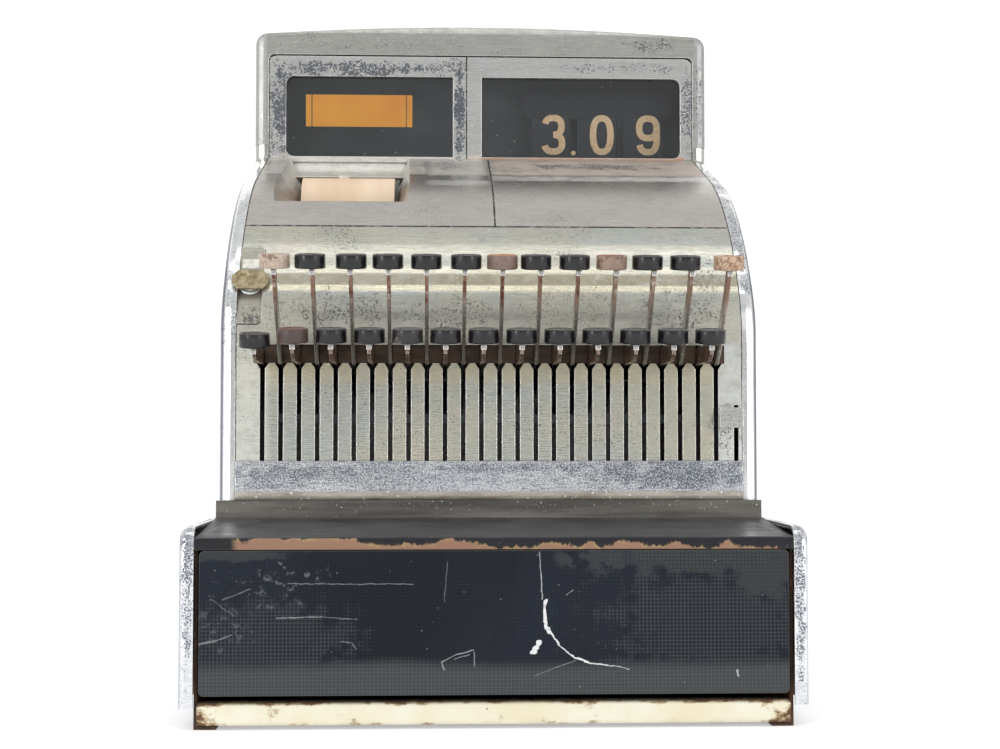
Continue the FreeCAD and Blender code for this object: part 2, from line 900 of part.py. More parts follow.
def indicator_hood():
    """The hood that closes the top, and the dark screen that stands in it behind the flags."""

    def outer_section(inset):
        return hood_outline(inset, hood_bottom)

    def inner_section(inset):
        return hood_outline(hood_sheet + inset, hood_bottom - cut_over)

    middle_y = (window_y + back_y) / 2
    front = rimmed_block(at_y, outer_section, middle_y, window_y, hood_round, rim_flat_count)
    rear = rimmed_block(at_y, outer_section, middle_y, back_y, hood_round, hidden_flat_count)
    inner_front = window_y + frame_sheet
    inner_back = back_y - hood_sheet
    inner_round = hood_round - hood_sheet
    inside = rimmed_block(at_y, inner_section, inner_front, inner_back, inner_round, hidden_flat_count)
    half = cover_half + seam_gap
    top = frame_top + frame_edge_gap
    y0 = window_y - cut_over
    y1 = window_y + frame_sheet + cut_over
    opening = box(-half, half, y0, y1, hood_bottom - cut_over, top)
    opening = rounded_at(opening, [(-half, top), (half, top)], frame_round - frame_swing_room)
    y0 = back_y - hood_sheet - cut_over
    y1 = back_y + cut_over
    half = rear_window_half
    pane = rounded_window(-half, half, rear_window_low, rear_window_high, y0, y1, [-half, half])
    pin_y, pin_z = hinge_place()
    bore_start = -cover_half - hinge_pin_length - seam_gap
    bore = rod_x(bore_start, -cover_half + frame_round, pin_y, pin_z, hinge_pin_radius + running_fit)
    hood = union([front, rear]).cut([inside, opening, pane, bore])
    start, steps = hood_outline(hood_sheet + seam_gap, hood_bottom)
    screen = prism_y(screen_y, screen_y + screen_sheet, start, steps)
    return Part.makeCompound([hood, screen])


def back_cover():
    return box(-half_cabinet, half_cabinet, panel_back_y, back_y, ledge_back_top + seam_gap, panel_top)


# Mechanism

def mechanism_frame():
    """Two side frames and the deck across their tops."""
    front = comb_y + frame_front_setback
    start = (front, bed_top)
    steps = [
        (front, frame_shoulder_z),
        (frame_shoulder_y, deck_z),
        (frame_back_y, deck_z),
        (frame_back_y, bed_top),
    ]
    plate = prism_x(frame_inner_x, frame_outer_x, start, steps)
    bore = rod_x(frame_inner_x - cut_over, frame_outer_x + cut_over, shaft_y, shaft_z, key_shaft_radius)
    plate = plate.cut(bore)
    pin_y = comb_y + release_pivot_setback
    pin = rod_x(frame_outer_x, release_x + lever_thickness, pin_y, release_pivot_z, release_pin_radius)
    deck = box(-frame_outer_x, frame_outer_x, frame_shoulder_y, frame_back_y, deck_z, deck_top)
    deck = deck.cut(flag_holes(deck_z - cut_over, deck_top + cut_over))
    return Part.makeCompound([union([plate, pin]), mirrored(plate), deck])


def key_shaft():
    return rod_x(-frame_outer_x, frame_outer_x, shaft_y, shaft_z, key_shaft_radius)


def lever_under_z(y):
    """Height of a lever's lower edge at rest."""
    share = (y - comb_y) / (shaft_y - comb_y)
    return lever_bottom + (shaft_z - eye_half - lever_bottom) * share


def key_spring_comb():
    """A bar with a spring leaf under each lever."""
    root_z = spring_bar_z + spring_bar_side
    bar_back = spring_bar_y + spring_bar_side
    bar = box(-frame_inner_x, frame_inner_x, spring_bar_y, bar_back, spring_bar_z, root_z)
    tip_y = spring_bar_y - spring_reach
    tip_z = lever_under_z(tip_y) - seam_gap
    half = spring_leaf_width / 2
    leaves = []
    for index in range(slot_count):
        x = slot_x(index)
        start = (spring_bar_y, root_z - spring_leaf)
        steps = [
            (tip_y, tip_z - spring_leaf),
            (tip_y, tip_z),
            (spring_bar_y, root_z),
        ]
        leaves.append(prism_x(x - half, x + half, start, steps))
    return bar.fuse(leaves)


def cap_seat_z(y, cap_z):
    """Height of the cap's underside at a place along it."""
    tilt = math.radians(cap_tilt)
    centre_y = comb_y - cap_reach
    low_z = cap_z - cap_thickness / 2 / math.cos(tilt)
    return low_z + (y - centre_y) * math.tan(tilt)


def key_cap(x, cap_z):
    body = Part.makeCylinder(cap_radius, cap_thickness, V(0, 0, -cap_thickness / 2))
    body.rotate(V(0, 0, 0), V(1, 0, 0), cap_tilt)
    body.translate(V(x, comb_y - cap_reach, cap_z))
    return body


def key(index):
    """A flat steel lever whose fork sits on the key shaft, with its round cap."""
    upper = index % 2 == 1
    place = index // 2
    x = slot_x(index)
    cap_y = comb_y - cap_reach
    front = cap_y - stem_half
    rear = cap_y + stem_half
    if upper:
        cap_z = upper_cap_height
        cap_x = x + upper_cap_lean_shares[place] * 2 * slot_pitch
    else:
        cap_z = lower_cap_height - lower_cap_drop_shares[place] * cap_thickness
        cap_x = x
    rear_top = (rear, cap_seat_z(rear, cap_z))
    front_top = (front, cap_seat_z(front, cap_z))
    arm_top = (comb_y + cover_sheet, lever_top)
    arm_low = (comb_y - stem_half, lever_bottom)
    if upper:
        bow = stem_bow * math.sqrt(0.5)
        back_middle = ((arm_top[0] + rear_top[0]) / 2 - bow, (arm_top[1] + rear_top[1]) / 2 - bow)
        front_middle = ((arm_low[0] + front_top[0]) / 2 - bow, (arm_low[1] + front_top[1]) / 2 - bow)
        out = [(back_middle, rear_top), front_top, (front_middle, arm_low)]
    else:
        out = [rear_top, front_top, (front, lever_bottom + stem_half), (rear, lever_bottom), arm_low]
    half_eye = eye_half / 2
    start = (shaft_y + half_eye, shaft_z - eye_half)
    steps = [
        (shaft_y + eye_half, shaft_z - half_eye),
        (shaft_y + eye_half, shaft_z + half_eye),
        (shaft_y + half_eye, shaft_z + eye_half),
        arm_top,
    ]
    half = lever_thickness / 2
    lever = prism_x(x - half, x + half, start, steps + out)
    fork = key_shaft_radius + running_fit
    slot_end = shaft_y + 2 * eye_half
    fork_slot = box(x - slot_pitch, x + slot_pitch, shaft_y - fork, slot_end, shaft_z - fork, shaft_z + fork)
    return Part.makeCompound([lever.cut(fork_slot), key_cap(cap_x, cap_z)])


def release_lever():
    """The drawer's release lever, with its bent tip in front of its own slot."""
    pivot_y = comb_y + release_pivot_setback
    half = lever_thickness / 2
    reach_y = comb_y - release_tip_reach
    arm_z = release_slot_top - lever_top_gap
    low_z = arm_z - release_arm_height
    eye = release_eye_half
    half_eye = eye / 2
    start = (pivot_y + half_eye, release_pivot_z - eye)
    steps = [
        (pivot_y + eye, release_pivot_z - half_eye),
        (pivot_y + eye, release_pivot_z + half_eye),
        (pivot_y + half_eye, release_pivot_z + eye),
        (comb_y + cover_sheet, arm_z),
        (reach_y, arm_z),
        (reach_y, low_z),
        (comb_y + cover_sheet, low_z),
        (pivot_y - eye, release_pivot_z - eye),
    ]
    arm = prism_x(release_x - half, release_x + half, start, steps)
    x0 = release_x - lever_thickness
    x1 = release_x + lever_thickness
    bore = rod_x(x0, x1, pivot_y, release_pivot_z, release_pin_radius + running_fit)
    tip_right = release_x + half + release_tip_sheet
    tip_left = tip_right - release_tip_width
    tip = box(tip_left, tip_right, reach_y - release_tip_sheet, reach_y, arm_z - release_tip_height, arm_z)
    return union([arm.cut(bore), tip])


# Indicator flags

def digit_x(place):
    return middle_digit_x + (place - 1) * digit_flag_pitch


def word_x():
    return (word_flag_left + word_flag_right) / 2 + digit_flag_pitch / 2


def stem_box(x, y, low, high, gap):
    half = stem_width / 2 + gap
    return box(x - half, x + half, y - gap, y + flag_sheet + gap, low, high)


def flag_holes(low, high):
    holes = []
    for place in range(3):
        holes.append(stem_box(digit_x(place), flag_y, low, high, slide_gap))
    holes.append(stem_box(word_x(), word_flag_y, low, high, slide_gap))
    return holes


def digit_flag(place):
    x = digit_x(place)
    half = digit_flag_width / 2
    plate = box(x - half, x + half, flag_y, flag_y + flag_sheet, window_bottom, digit_flag_top)
    return union([plate, stem_box(x, flag_y, stem_bottom, window_bottom, 0)])


def word_flag():
    y1 = word_flag_y + flag_sheet
    plate = box(word_flag_left, word_flag_right, word_flag_y, y1, word_flag_bottom, word_flag_top)
    return union([plate, stem_box(word_x(), word_flag_y, stem_bottom, word_flag_bottom, 0)])


def flag_guide():
    """A bridge on the deck that keeps the flag stems upright."""
    x0 = digit_x(0) - guide_margin
    x1 = digit_x(2) + guide_margin
    y0 = flag_y - guide_margin
    y1 = word_flag_y + guide_margin
    top = box(x0, x1, y0, y1, guide_z, guide_z + guide_sheet)
    left = box(x0, x0 + guide_sheet, y0, y1, deck_top, guide_z)
    right = box(x1 - guide_sheet, x1, y0, y1, deck_top, guide_z)
    holes = flag_holes(guide_z - cut_over, guide_z + guide_sheet + cut_over)
    return union([top.cut(holes), left, right])


# Receipt roll

def receipt_roll():
    half = roll_width / 2
    roll = rod_x(roll_x - half, roll_x + half, roll_y, roll_z, roll_radius)
    bore = rod_x(roll_x - 2 * half, roll_x + 2 * half, roll_y, roll_z, spindle_radius + running_fit)
    return roll.cut(bore)


def roll_spindle():
    """The roll's fixed rod between two brackets on the deck."""
    inner = roll_width / 2 + bracket_gap
    outer = inner + bracket_sheet
    y0 = roll_y - bracket_half
    y1 = roll_y + bracket_half
    top = roll_z + bracket_half
    left = box(roll_x - outer, roll_x - inner, y0, y1, deck_top, top)
    right = box(roll_x + inner, roll_x + outer, y0, y1, deck_top, top)
    rod = rod_x(roll_x - outer, roll_x + outer, roll_y, roll_z, spindle_radius)
    return union([left, right, rod])


# Drawer

def drawer_front():
    half = drawer_front_half
    block = box(-half, half, front_y, drawer_front_back_y, drawer_front_bottom, drawer_front_top)
    corners = [edge for edge in block.Edges if edge.BoundBox.YLength > drawer_front_thickness / 2]
    return block.makeFillet(drawer_front_round, corners)


def drawer_box():
    """Folded sheet box with runners and a lower back wall that the latch hooks over."""
    half = drawer_box_half
    outer = box(-half, half, drawer_front_back_y, drawer_back_y, drawer_box_bottom, drawer_box_top)
    inside = half - drawer_sheet
    inner_back = drawer_back_y - drawer_sheet
    open_top = drawer_box_top + cut_over
    floor = drawer_box_bottom + drawer_sheet
    inner = box(-inside, inside, drawer_front_back_y + drawer_sheet, inner_back, floor, open_top)
    notch = box(-inside, inside, inner_back - cut_over, drawer_back_y + cut_over, drawer_back_top, open_top)
    runner_z = runner_height + slide_gap
    reach = pan_half - pan_sheet - 3 * slide_gap
    runner = box(half, reach, drawer_front_back_y, drawer_back_y, runner_z, runner_z + runner_sheet)
    return union([outer.cut([inner, notch]), runner, mirrored(runner)])


def till_tray():
    """Moulded tray: scooped coin cups at the front, note bays behind them."""
    half = tray_half
    block = box(-half, half, tray_front_y, tray_back_y, tray_bottom, tray_top)
    pitch = (2 * half - tray_wall) / cup_count
    bay_front = tray_front_y + cup_length + 2 * tray_wall
    bay_back = tray_back_y - tray_wall
    floor = tray_bottom + tray_floor
    open_top = tray_top + cut_over
    cuts = []
    for place in range(cup_count):
        x0 = -half + tray_wall + place * pitch
        x1 = x0 + pitch - tray_wall
        y0 = tray_front_y + tray_wall
        y1 = y0 + cup_length
        middle = (y0 + y1) / 2
        shoulder = (tray_bottom + tray_top) / 2
        start = (y0, open_top)
        steps = [
            (y0, shoulder),
            ((middle, floor), (y1, shoulder)),
            (y1, open_top),
        ]
        cuts.append(prism_x(x0, x1, start, steps))
        cuts.append(box(x0, x1, bay_front, bay_back, floor, open_top))
    return block.cut(cuts)


def drawer_latch():
    """A hook that hangs over the drawer box's back wall from a pin under the bed plate."""
    half = latch_thickness / 2
    eye = 2 * latch_pin_radius
    low = latch_z - latch_arm_half
    top = latch_z + latch_arm_half
    tooth_back = drawer_back_y - drawer_sheet - slide_gap
    tooth_front = tooth_back - latch_tooth
    tooth_low = drawer_back_top - latch_bite
    start = (tooth_front, top)
    steps = [
        (tooth_front, tooth_low),
        (tooth_back, tooth_low),
        (tooth_back, low),
        (latch_y - eye, low),
        (latch_y, latch_z - eye),
        (latch_y + eye, latch_z),
        (latch_y, latch_z + eye),
        (latch_y - eye, top),
    ]
    arm = prism_x(-half, half, start, steps)
    return arm.cut(rod_x(-eye, eye, latch_y, latch_z, latch_pin_radius + running_fit))


def drawer_spring():
    """A bent leaf on the pan's back wall that pushes the drawer out."""
    wall_y = back_y - pan_sheet
    tip_y = drawer_back_y + seam_gap
    half = bow_spring_half_span
    nose = bow_spring_nose
    foot = bow_spring_sheet * (half - nose) / (wall_y - tip_y)
    z = drawer_box_bottom + (drawer_back_top - drawer_box_bottom) / 3
    start = (bow_spring_x - half, wall_y)
    steps = [
        (bow_spring_x - nose, tip_y),
        (bow_spring_x + nose, tip_y),
        (bow_spring_x + half, wall_y),
        (bow_spring_x + half - foot, wall_y),
        (bow_spring_x + nose, tip_y + bow_spring_sheet),
        (bow_spring_x - nose, tip_y + bow_spring_sheet),
        (bow_spring_x - half + foot, wall_y),
    ]
    return Part.Face(outline(at_z(z), start, steps)).extrude(V(0, 0, bow_spring_width))


right_panel = side_panel()
parts = {
    "base_pan": base_pan(),
    "base_rail": base_rail(),
    "side_skirts": side_skirts(),
    "bed_plate": bed_plate(),
    "ledge_cover": ledge_cover(),
    "left_side_panel": mirrored(right_panel),
    "right_side_panel": right_panel,
    "front_cover": front_cover(),
    "trim_band": trim_band(),
    "lock_plate": lock_plate(),
    "lock_key": lock_key(),
    "right_top_cover": right_top_cover(),
    "printer_lid": printer_lid(),
    "lid_glass": lid_glass(),
    "right_bezel": right_bezel(),
    "indicator_glass": indicator_glass(),
    "indicator_hood": indicator_hood(),
    "back_cover": back_cover(),
    "mechanism_frame": mechanism_frame(),
    "key_shaft": key_shaft(),
    "key_spring_comb": key_spring_comb(),
    "release_lever": release_lever(),
    "dollar_flag": digit_flag(0),
    "dime_flag": digit_flag(1),
    "cent_flag": digit_flag(2),
    "word_flag": word_flag(),
    "flag_guide": flag_guide(),
    "receipt_roll": receipt_roll(),
    "roll_spindle": roll_spindle(),
    "drawer_front": drawer_front(),
    "drawer_box": drawer_box(),
    "till_tray": till_tray(),
    "drawer_latch": drawer_latch(),
    "drawer_spring": drawer_spring(),
}
for number in range(slot_count):
    parts["key_%02d" % (number + 1)] = key(number)

for node, shape in parts.items():
    shape.exportStep("parts/" + node + ".step")
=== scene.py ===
import json
import math

import bpy
from mathutils import Matrix, Vector


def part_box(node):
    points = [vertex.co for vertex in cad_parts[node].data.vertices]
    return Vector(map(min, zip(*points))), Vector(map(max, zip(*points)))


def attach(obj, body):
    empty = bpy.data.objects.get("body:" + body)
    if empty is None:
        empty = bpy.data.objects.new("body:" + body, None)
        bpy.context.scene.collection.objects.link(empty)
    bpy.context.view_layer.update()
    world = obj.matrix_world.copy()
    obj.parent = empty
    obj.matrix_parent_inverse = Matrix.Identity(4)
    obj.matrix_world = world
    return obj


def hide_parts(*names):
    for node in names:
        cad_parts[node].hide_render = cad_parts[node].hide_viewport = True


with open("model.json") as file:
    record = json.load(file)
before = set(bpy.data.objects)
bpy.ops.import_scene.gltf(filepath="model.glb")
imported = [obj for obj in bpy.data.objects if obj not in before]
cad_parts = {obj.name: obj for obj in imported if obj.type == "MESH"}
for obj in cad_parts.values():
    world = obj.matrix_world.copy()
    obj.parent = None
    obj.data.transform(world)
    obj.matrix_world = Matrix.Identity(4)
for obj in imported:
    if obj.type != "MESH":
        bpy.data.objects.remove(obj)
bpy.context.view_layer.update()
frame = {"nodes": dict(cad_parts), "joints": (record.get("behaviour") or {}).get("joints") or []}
scene = bpy.context.scene
nodes = frame["nodes"]
scene.view_settings.view_transform = "Standard"

# Camera, at the height of the keys and a little to the left, as the photograph was taken
camera_data = bpy.data.cameras.new("photo_camera")
camera_data.lens = 58.2
camera_data.sensor_width = 36.0
camera_data.clip_start = 0.01
camera = bpy.data.objects.new("photo_camera", camera_data)
camera.location = (-0.0395, -1.22865, 0.1824)
camera.rotation_euler = (math.radians(92.32), 0.0, math.radians(-2.34))
scene.collection.objects.link(camera)
scene.camera = camera

# Studio floor: one pale sheet that runs under the object and sweeps up behind it.
# It is lifted to white for the camera and for reflections, and it keeps the object's shadow.


def add_node(tree, kind, settings=None, inputs=None):
    """A node in a tree; an input is a plain value or another node's output."""
    node = tree.nodes.new(kind)
    for name, value in (settings or {}).items():
        setattr(node, name, value)
    for name, value in (inputs or {}).items():
        if isinstance(value, bpy.types.NodeSocket):
            tree.links.new(value, node.inputs[name])
        else:
            node.inputs[name].default_value = value
    return node


def tree_of(*values):
    """The node tree of the first node output among the values."""
    return next(value.id_data for value in values if isinstance(value, bpy.types.NodeSocket))


def maths(operation, first, second=0.0):
    inputs = {0: first, 1: second}
    return add_node(tree_of(first, second), "ShaderNodeMath", {"operation": operation}, inputs).outputs[0]


def product(first, second):
    return maths("MULTIPLY", first, second)


def larger(first, second):
    return maths("MAXIMUM", first, second)


def new_mesh_object(name, points, faces, smooth=False):
    mesh = bpy.data.meshes.new(name)
    mesh.from_pydata(points, [], faces)
    mesh.update()
    mesh.shade_smooth() if smooth else mesh.shade_flat()
    piece = bpy.data.objects.new(name, mesh)
    scene.collection.objects.link(piece)
    return piece


def studio_sheet():
    half, front, bend_y, bend, top = 4.0, -4.0, 1.4, 1.0, 3.5
    line = [(front, 0.0), (bend_y, 0.0)]
    for step in range(1, 13):
        turn = math.radians(90 * step / 12)
        line.append((bend_y + bend * math.sin(turn), bend * (1 - math.cos(turn))))
    line.append((bend_y + bend, top))
    points = [(side * half, y, z) for y, z in line for side in (-1, 1)]
    faces = [(2 * i, 2 * i + 1, 2 * i + 3, 2 * i + 2) for i in range(len(line) - 1)]
    return new_mesh_object("studio_sheet", points, faces, smooth=True)


sheet = studio_sheet()
paper_white = bpy.data.materials.new("studio_paper")
paper_white.use_nodes = True
tree = paper_white.node_tree
seen = add_node(tree, "ShaderNodeLightPath").outputs
direct = larger(seen["Is Camera Ray"], seen["Is Glossy Ray"])
direct = larger(direct, seen["Is Transmission Ray"])
shader = tree.nodes["Principled BSDF"]
shader.inputs["Base Color"].default_value = (0.82, 0.82, 0.82, 1)
shader.inputs["Roughness"].default_value = 0.9
shader.inputs["Specular IOR Level"].default_value = 0.0
shader.inputs["Emission Color"].default_value = (1, 1, 1, 1)
tree.links.new(product(direct, 0.42), shader.inputs["Emission Strength"])
sheet.data.materials.append(paper_white)

# Studio light: a pale room, duller on the camera's side and brightest to both sides, with two
# tall soft boxes in front and three long strips above, whose lines show in the plating.


def plus(first, second):
    return maths("ADD", first, second)


def parts_of(vector):
    return add_node(tree_of(vector), "ShaderNodeSeparateXYZ", inputs={0: vector}).outputs


def between(value, low, high, first=0.0, last=1.0):
    """Value between low and high, spread smoothly over first to last."""
    inputs = {"Value": value, "From Min": low, "From Max": high, "To Min": first, "To Max": last}
    smooth = {"interpolation_type": "SMOOTHSTEP"}
    return add_node(tree_of(value), "ShaderNodeMapRange", smooth, inputs).outputs["Result"]


world = bpy.data.worlds.new("studio")
world.use_nodes = True
scene.world = world
tree = world.node_tree
view_line = add_node(tree, "ShaderNodeTexCoord").outputs["Generated"]
along = parts_of(view_line)
level = between(along["Y"], -0.9, -0.2, 0.52, 0.7)
side = between(maths("ABSOLUTE", along["X"]), 0.5, 0.68)
side = product(side, between(along["Y"], 0.3, 0.05))
side = product(side, between(along["Z"], 0.75, 0.5, 0.0, 0.38))
level = plus(level, side)
lift = product(between(along["Z"], 0.12, 0.3), between(along["Z"], 0.7, 0.5, 0.0, 0.3))
level = plus(level, product(lift, between(along["Y"], -0.5, -0.8)))
is_camera = add_node(tree, "ShaderNodeLightPath").outputs["Is Camera Ray"]
level = larger(level, is_camera)
backdrop = tree.nodes["Background"]
backdrop.inputs["Color"].default_value = (1, 1, 1, 1)
tree.links.new(level, backdrop.inputs["Strength"])


def soft_box(name, place, target, width, height, brightness):
    lamp = bpy.data.lights.new(name, "AREA")
    lamp.shape = "RECTANGLE"
    lamp.size = width
    lamp.size_y = height
    lamp.energy = brightness * math.pi * width * height
    holder = bpy.data.objects.new(name, lamp)
    holder.location = place
    holder.rotation_euler = (Vector(target) - Vector(place)).to_track_quat("-Z", "Y").to_euler()
    scene.collection.objects.link(holder)


soft_box("left_box", (-1.4, -1.5, 0.75), (0.0, 0.0, 0.3), 0.4, 1.5, 6.0)
soft_box("right_box", (1.35, -1.55, 0.75), (0.0, 0.0, 0.3), 0.35, 1.5, 5.4)
soft_box("rear_strip", (0.0, -0.28, 2.5), (0.0, -0.1, 0.3), 3.2, 0.14, 1.8)
soft_box("middle_strip", (0.0, -0.64, 2.5), (0.0, -0.1, 0.3), 3.2, 0.12, 1.6)
soft_box("front_strip", (0.0, -1.02, 2.5), (0.0, -0.1, 0.3), 3.2, 0.07, 2.6)

# Wear that the plated sheets share: pits, brushing, edge wear, settled dirt with painted shade in corners,
# and scratches.
# Each effect is one node group, used by the materials with their own sizes and amounts.


def new_group(name, inputs, outputs):
    """A node group with named number inputs and outputs; it returns its tree and both ends."""
    group = bpy.data.node_groups.new(name, "ShaderNodeTree")
    for label, value in inputs.items():
        group.interface.new_socket(label, in_out="INPUT", socket_type="NodeSocketFloat").default_value = value
    for label in outputs:
        kind = "NodeSocketVector" if label == "Normal" else "NodeSocketFloat"
        group.interface.new_socket(label, in_out="OUTPUT", socket_type=kind)
    given = group.nodes.new("NodeGroupInput").outputs
    result = group.nodes.new("NodeGroupOutput").inputs
    return group, given, result


def own_place(tree):
    return add_node(tree, "ShaderNodeTexCoord").outputs["Object"]


def object_place(tree, stretch=(1, 1, 1), turn=(0, 0, 0)):
    """The object's own coordinates, turned and then stretched."""
    inputs = {"Vector": own_place(tree), "Scale": tuple(1 / part for part in stretch), "Rotation": turn}
    return add_node(tree, "ShaderNodeMapping", {"vector_type": "TEXTURE"}, inputs).outputs["Vector"]


def vector_node(operation, inputs):
    tree = tree_of(*inputs.values())
    return add_node(tree, "ShaderNodeVectorMath", {"operation": operation}, inputs).outputs


def noise(tree, scale, detail=3.0, place=None, roughness=0.6):
    inputs = {"Vector": place or object_place(tree), "Scale": scale, "Detail": detail, "Roughness": roughness}
    return add_node(tree, "ShaderNodeTexNoise", inputs=inputs).outputs["Fac"]


def minus(first, second):
    return maths("SUBTRACT", first, second)


def effect(tree, group, **values):
    """A shared effect placed in a material; names are written with underscores."""
    node = tree.nodes.new("ShaderNodeGroup")
    node.node_tree = group
    for name, value in values.items():
        socket = node.inputs[name.replace("_", " ")]
        if isinstance(value, bpy.types.NodeSocket):
            tree.links.new(value, socket)
        else:
            socket.default_value = value
    return node.outputs


speckle_group, given, result = new_group(
    "speckles", {"Per Metre": 700.0, "Density": 0.2, "Size": 0.34}, ["Mask"])
tree = speckle_group
shake = add_node(tree, "ShaderNodeTexNoise", inputs={"Scale": 1900.0, "Detail": 1.0}).outputs["Color"]
shake = vector_node("SCALE", {0: shake, "Scale": 0.0007})
place = vector_node("ADD", {0: own_place(tree), 1: shake[0]})
cell_inputs = {"Vector": place[0], "Scale": given["Per Metre"]}
cells = add_node(tree, "ShaderNodeTexVoronoi", inputs=cell_inputs).outputs
chance = add_node(tree, "ShaderNodeSeparateColor", inputs={0: cells["Color"]}).outputs
present = maths("LESS_THAN", chance["Red"], given["Density"])
radius = product(given["Size"], plus(chance["Green"], 0.5))
spot = between(cells["Distance"], radius, product(radius, 0.5))
tree.links.new(product(spot, present), result["Mask"])

pits_group, given, result = new_group(
    "clustered_pits", {"Per Metre": 900.0, "Amount": 0.4, "Crowding": 0.0}, ["Mask", "Flecks", "Stain"])
tree = pits_group
low_edge = minus(0.66, product(given["Amount"], 0.3))
cluster = between(noise(tree, 17.0, 7.0), low_edge, plus(low_edge, 0.2))
cluster = product(cluster, 0.6)
loose = between(noise(tree, 60.0, 4.0), 0.3, 0.55, 0.45, 1.0)
crowd = larger(cluster, product(given["Crowding"], loose))
grit = noise(tree, given["Per Metre"], 2.0, roughness=0.75)
rim = minus(0.68, product(crowd, 0.2))
pit = between(grit, rim, plus(rim, 0.05))
tree.links.new(pit, result["Mask"])
tree.links.new(between(grit, 0.4, 0.33), result["Flecks"])
tree.links.new(crowd, result["Stain"])

brush_group, given, result = new_group("brushed_grain", {"Across": 1400.0, "Along": 30.0}, ["Grain"])
tree = brush_group
spread_out = add_node(
    tree, "ShaderNodeCombineXYZ", inputs={0: given["Along"], 1: given["Across"], 2: given["Across"]})
stretched = vector_node("MULTIPLY", {0: own_place(tree), 1: spread_out.outputs[0]})
tree.links.new(noise(tree, 1.0, 3.0, stretched[0]), result["Grain"])

edge_group, given, result = new_group("worn_edges", {"Radius": 0.0012, "Raggedness": 0.4}, ["Mask", "Normal"])
tree = edge_group
bevel = add_node(tree, "ShaderNodeBevel", {"samples": 6}, {"Radius": given["Radius"]}).outputs["Normal"]
flat = add_node(tree, "ShaderNodeNewGeometry").outputs["Normal"]
agree = vector_node("DOT_PRODUCT", {0: bevel, 1: flat})
ragged = product(noise(tree, 260.0, 4.0), given["Raggedness"])
turned = minus(1.0, agree["Value"])
turned = minus(turned, product(ragged, 0.04))
tree.links.new(between(turned, 0.004, 0.05), result["Mask"])
tree.links.new(bevel, result["Normal"])

# Grime and painted shade: dark where ambient occlusion finds corners and recesses. Dust: on faces that look
# upward.
dirt_and_shade_group, given, result = new_group("settled_dirt_and_shade", {"Reach": 0.012, "Top Dust": 0.3}, ["Corners", "Dust"])
tree = dirt_and_shade_group
occlusion = add_node(tree, "ShaderNodeAmbientOcclusion", {"samples": 6}, {"Distance": given["Reach"]})
uneven = plus(product(noise(tree, 60.0, 4.0), 0.3), 0.75)
closed = minus(uneven, occlusion.outputs["AO"])
tree.links.new(between(closed, 0.05, 0.45), result["Corners"])
normal = add_node(tree, "ShaderNodeNewGeometry").outputs["Normal"]
upward = parts_of(normal)["Z"]
settled = between(noise(tree, 35.0, 6.0), 0.3, 0.7)
lying = product(between(upward, 0.3, 0.95), settled)
tree.links.new(product(lying, given["Top Dust"]), result["Dust"])

scratch_group, given, result = new_group("fine_scratches", {"Scale": 30.0, "Amount": 0.6}, ["Mask"])
tree = scratch_group
streaks = 0.0
for turn in (0.35, -0.75, 1.75):
    streak_place = object_place(tree, (1, 22, 22), (0.1, turn, 0.2))
    streak = between(noise(tree, given["Scale"], 2.0, streak_place), 0.7, 0.76)
    streaks = larger(streaks, streak)
patches = between(noise(tree, 9.0, 3.0), 0.42, 0.6)
kept = product(product(streaks, patches), given["Amount"])
tree.links.new(kept, result["Mask"])

area_group, given, result = new_group(
    "worn_area",
    {"U": 0.0, "V": 0.0, "Middle U": 0.0, "Middle V": 0.0, "Reach U": 0.05, "Reach V": 0.01}, ["Mask"])
tree = area_group
off_middle = []
for axis in ("U", "V"):
    off = minus(given[axis], given["Middle " + axis])
    off = maths("DIVIDE", off, given["Reach " + axis])
    off_middle.append(product(off, off))
off = maths("SQRT", plus(off_middle[0], off_middle[1]))
off = plus(off, between(noise(tree, 90.0, 6.0), 0.3, 0.7, 0.35, -0.35))
tree.links.new(between(off, 1.1, 0.55), result["Mask"])


def worn_areas(across, up, areas):
    """The strongest of several worn areas, each (middle across, middle up, two reaches, strength)."""
    strongest = 0.0
    for middle_u, middle_v, reach_u, reach_v, strength in areas:
        mask = effect(
            tree_of(across), area_group, U=across, V=up, Middle_U=middle_u, Middle_V=middle_v,
            Reach_U=reach_u, Reach_V=reach_v)["Mask"]
        strongest = larger(strongest, product(mask, strength))
    return strongest


def colour_mix(amount, first, second):
    """First colour, going over to the second by amount; each is a plain colour or an output."""
    inputs = {0: amount}
    for number, colour in ((6, first), (7, second)):
        inputs[number] = colour if isinstance(colour, bpy.types.NodeSocket) else (*colour, 1.0)
    return add_node(tree_of(amount, first, second), "ShaderNodeMix", {"data_type": "RGBA"}, inputs).outputs[2]


def coats(colour, rows):
    """Coats laid over a colour, each (mask, share of it that shows, colour of the coat)."""
    for mask, share, tone in rows:
        colour = colour_mix(mask if share == 1 else product(mask, share), colour, tone)
    return colour


def shade(colour, factor):
    return tuple(min(1.0, factor * part) for part in colour)


def new_material(name):
    material = bpy.data.materials.new(name)
    material.use_nodes = True
    return material, material.node_tree, material.node_tree.nodes["Principled BSDF"].inputs


def connect(shader, **sockets):
    """Values or outputs onto the shader's own sockets; names are written with underscores."""
    for name, value in sockets.items():
        socket = shader[name.replace("_", " ")]
        if isinstance(value, bpy.types.NodeSocket):
            value.id_data.links.new(value, socket)
        else:
            socket.default_value = value if isinstance(value, (int, float)) else (*value, 1.0)


def bump(height, distance, strength=1.0, normal=None):
    inputs = {"Height": height, "Distance": distance, "Strength": strength}
    if normal is not None:
        inputs["Normal"] = normal
    return add_node(tree_of(height), "ShaderNodeBump", inputs=inputs).outputs["Normal"]


def finish_node(name, material):
    """Puts a finish on a CAD node."""
    for holder in nodes[name].material_slots:
        holder.material = material
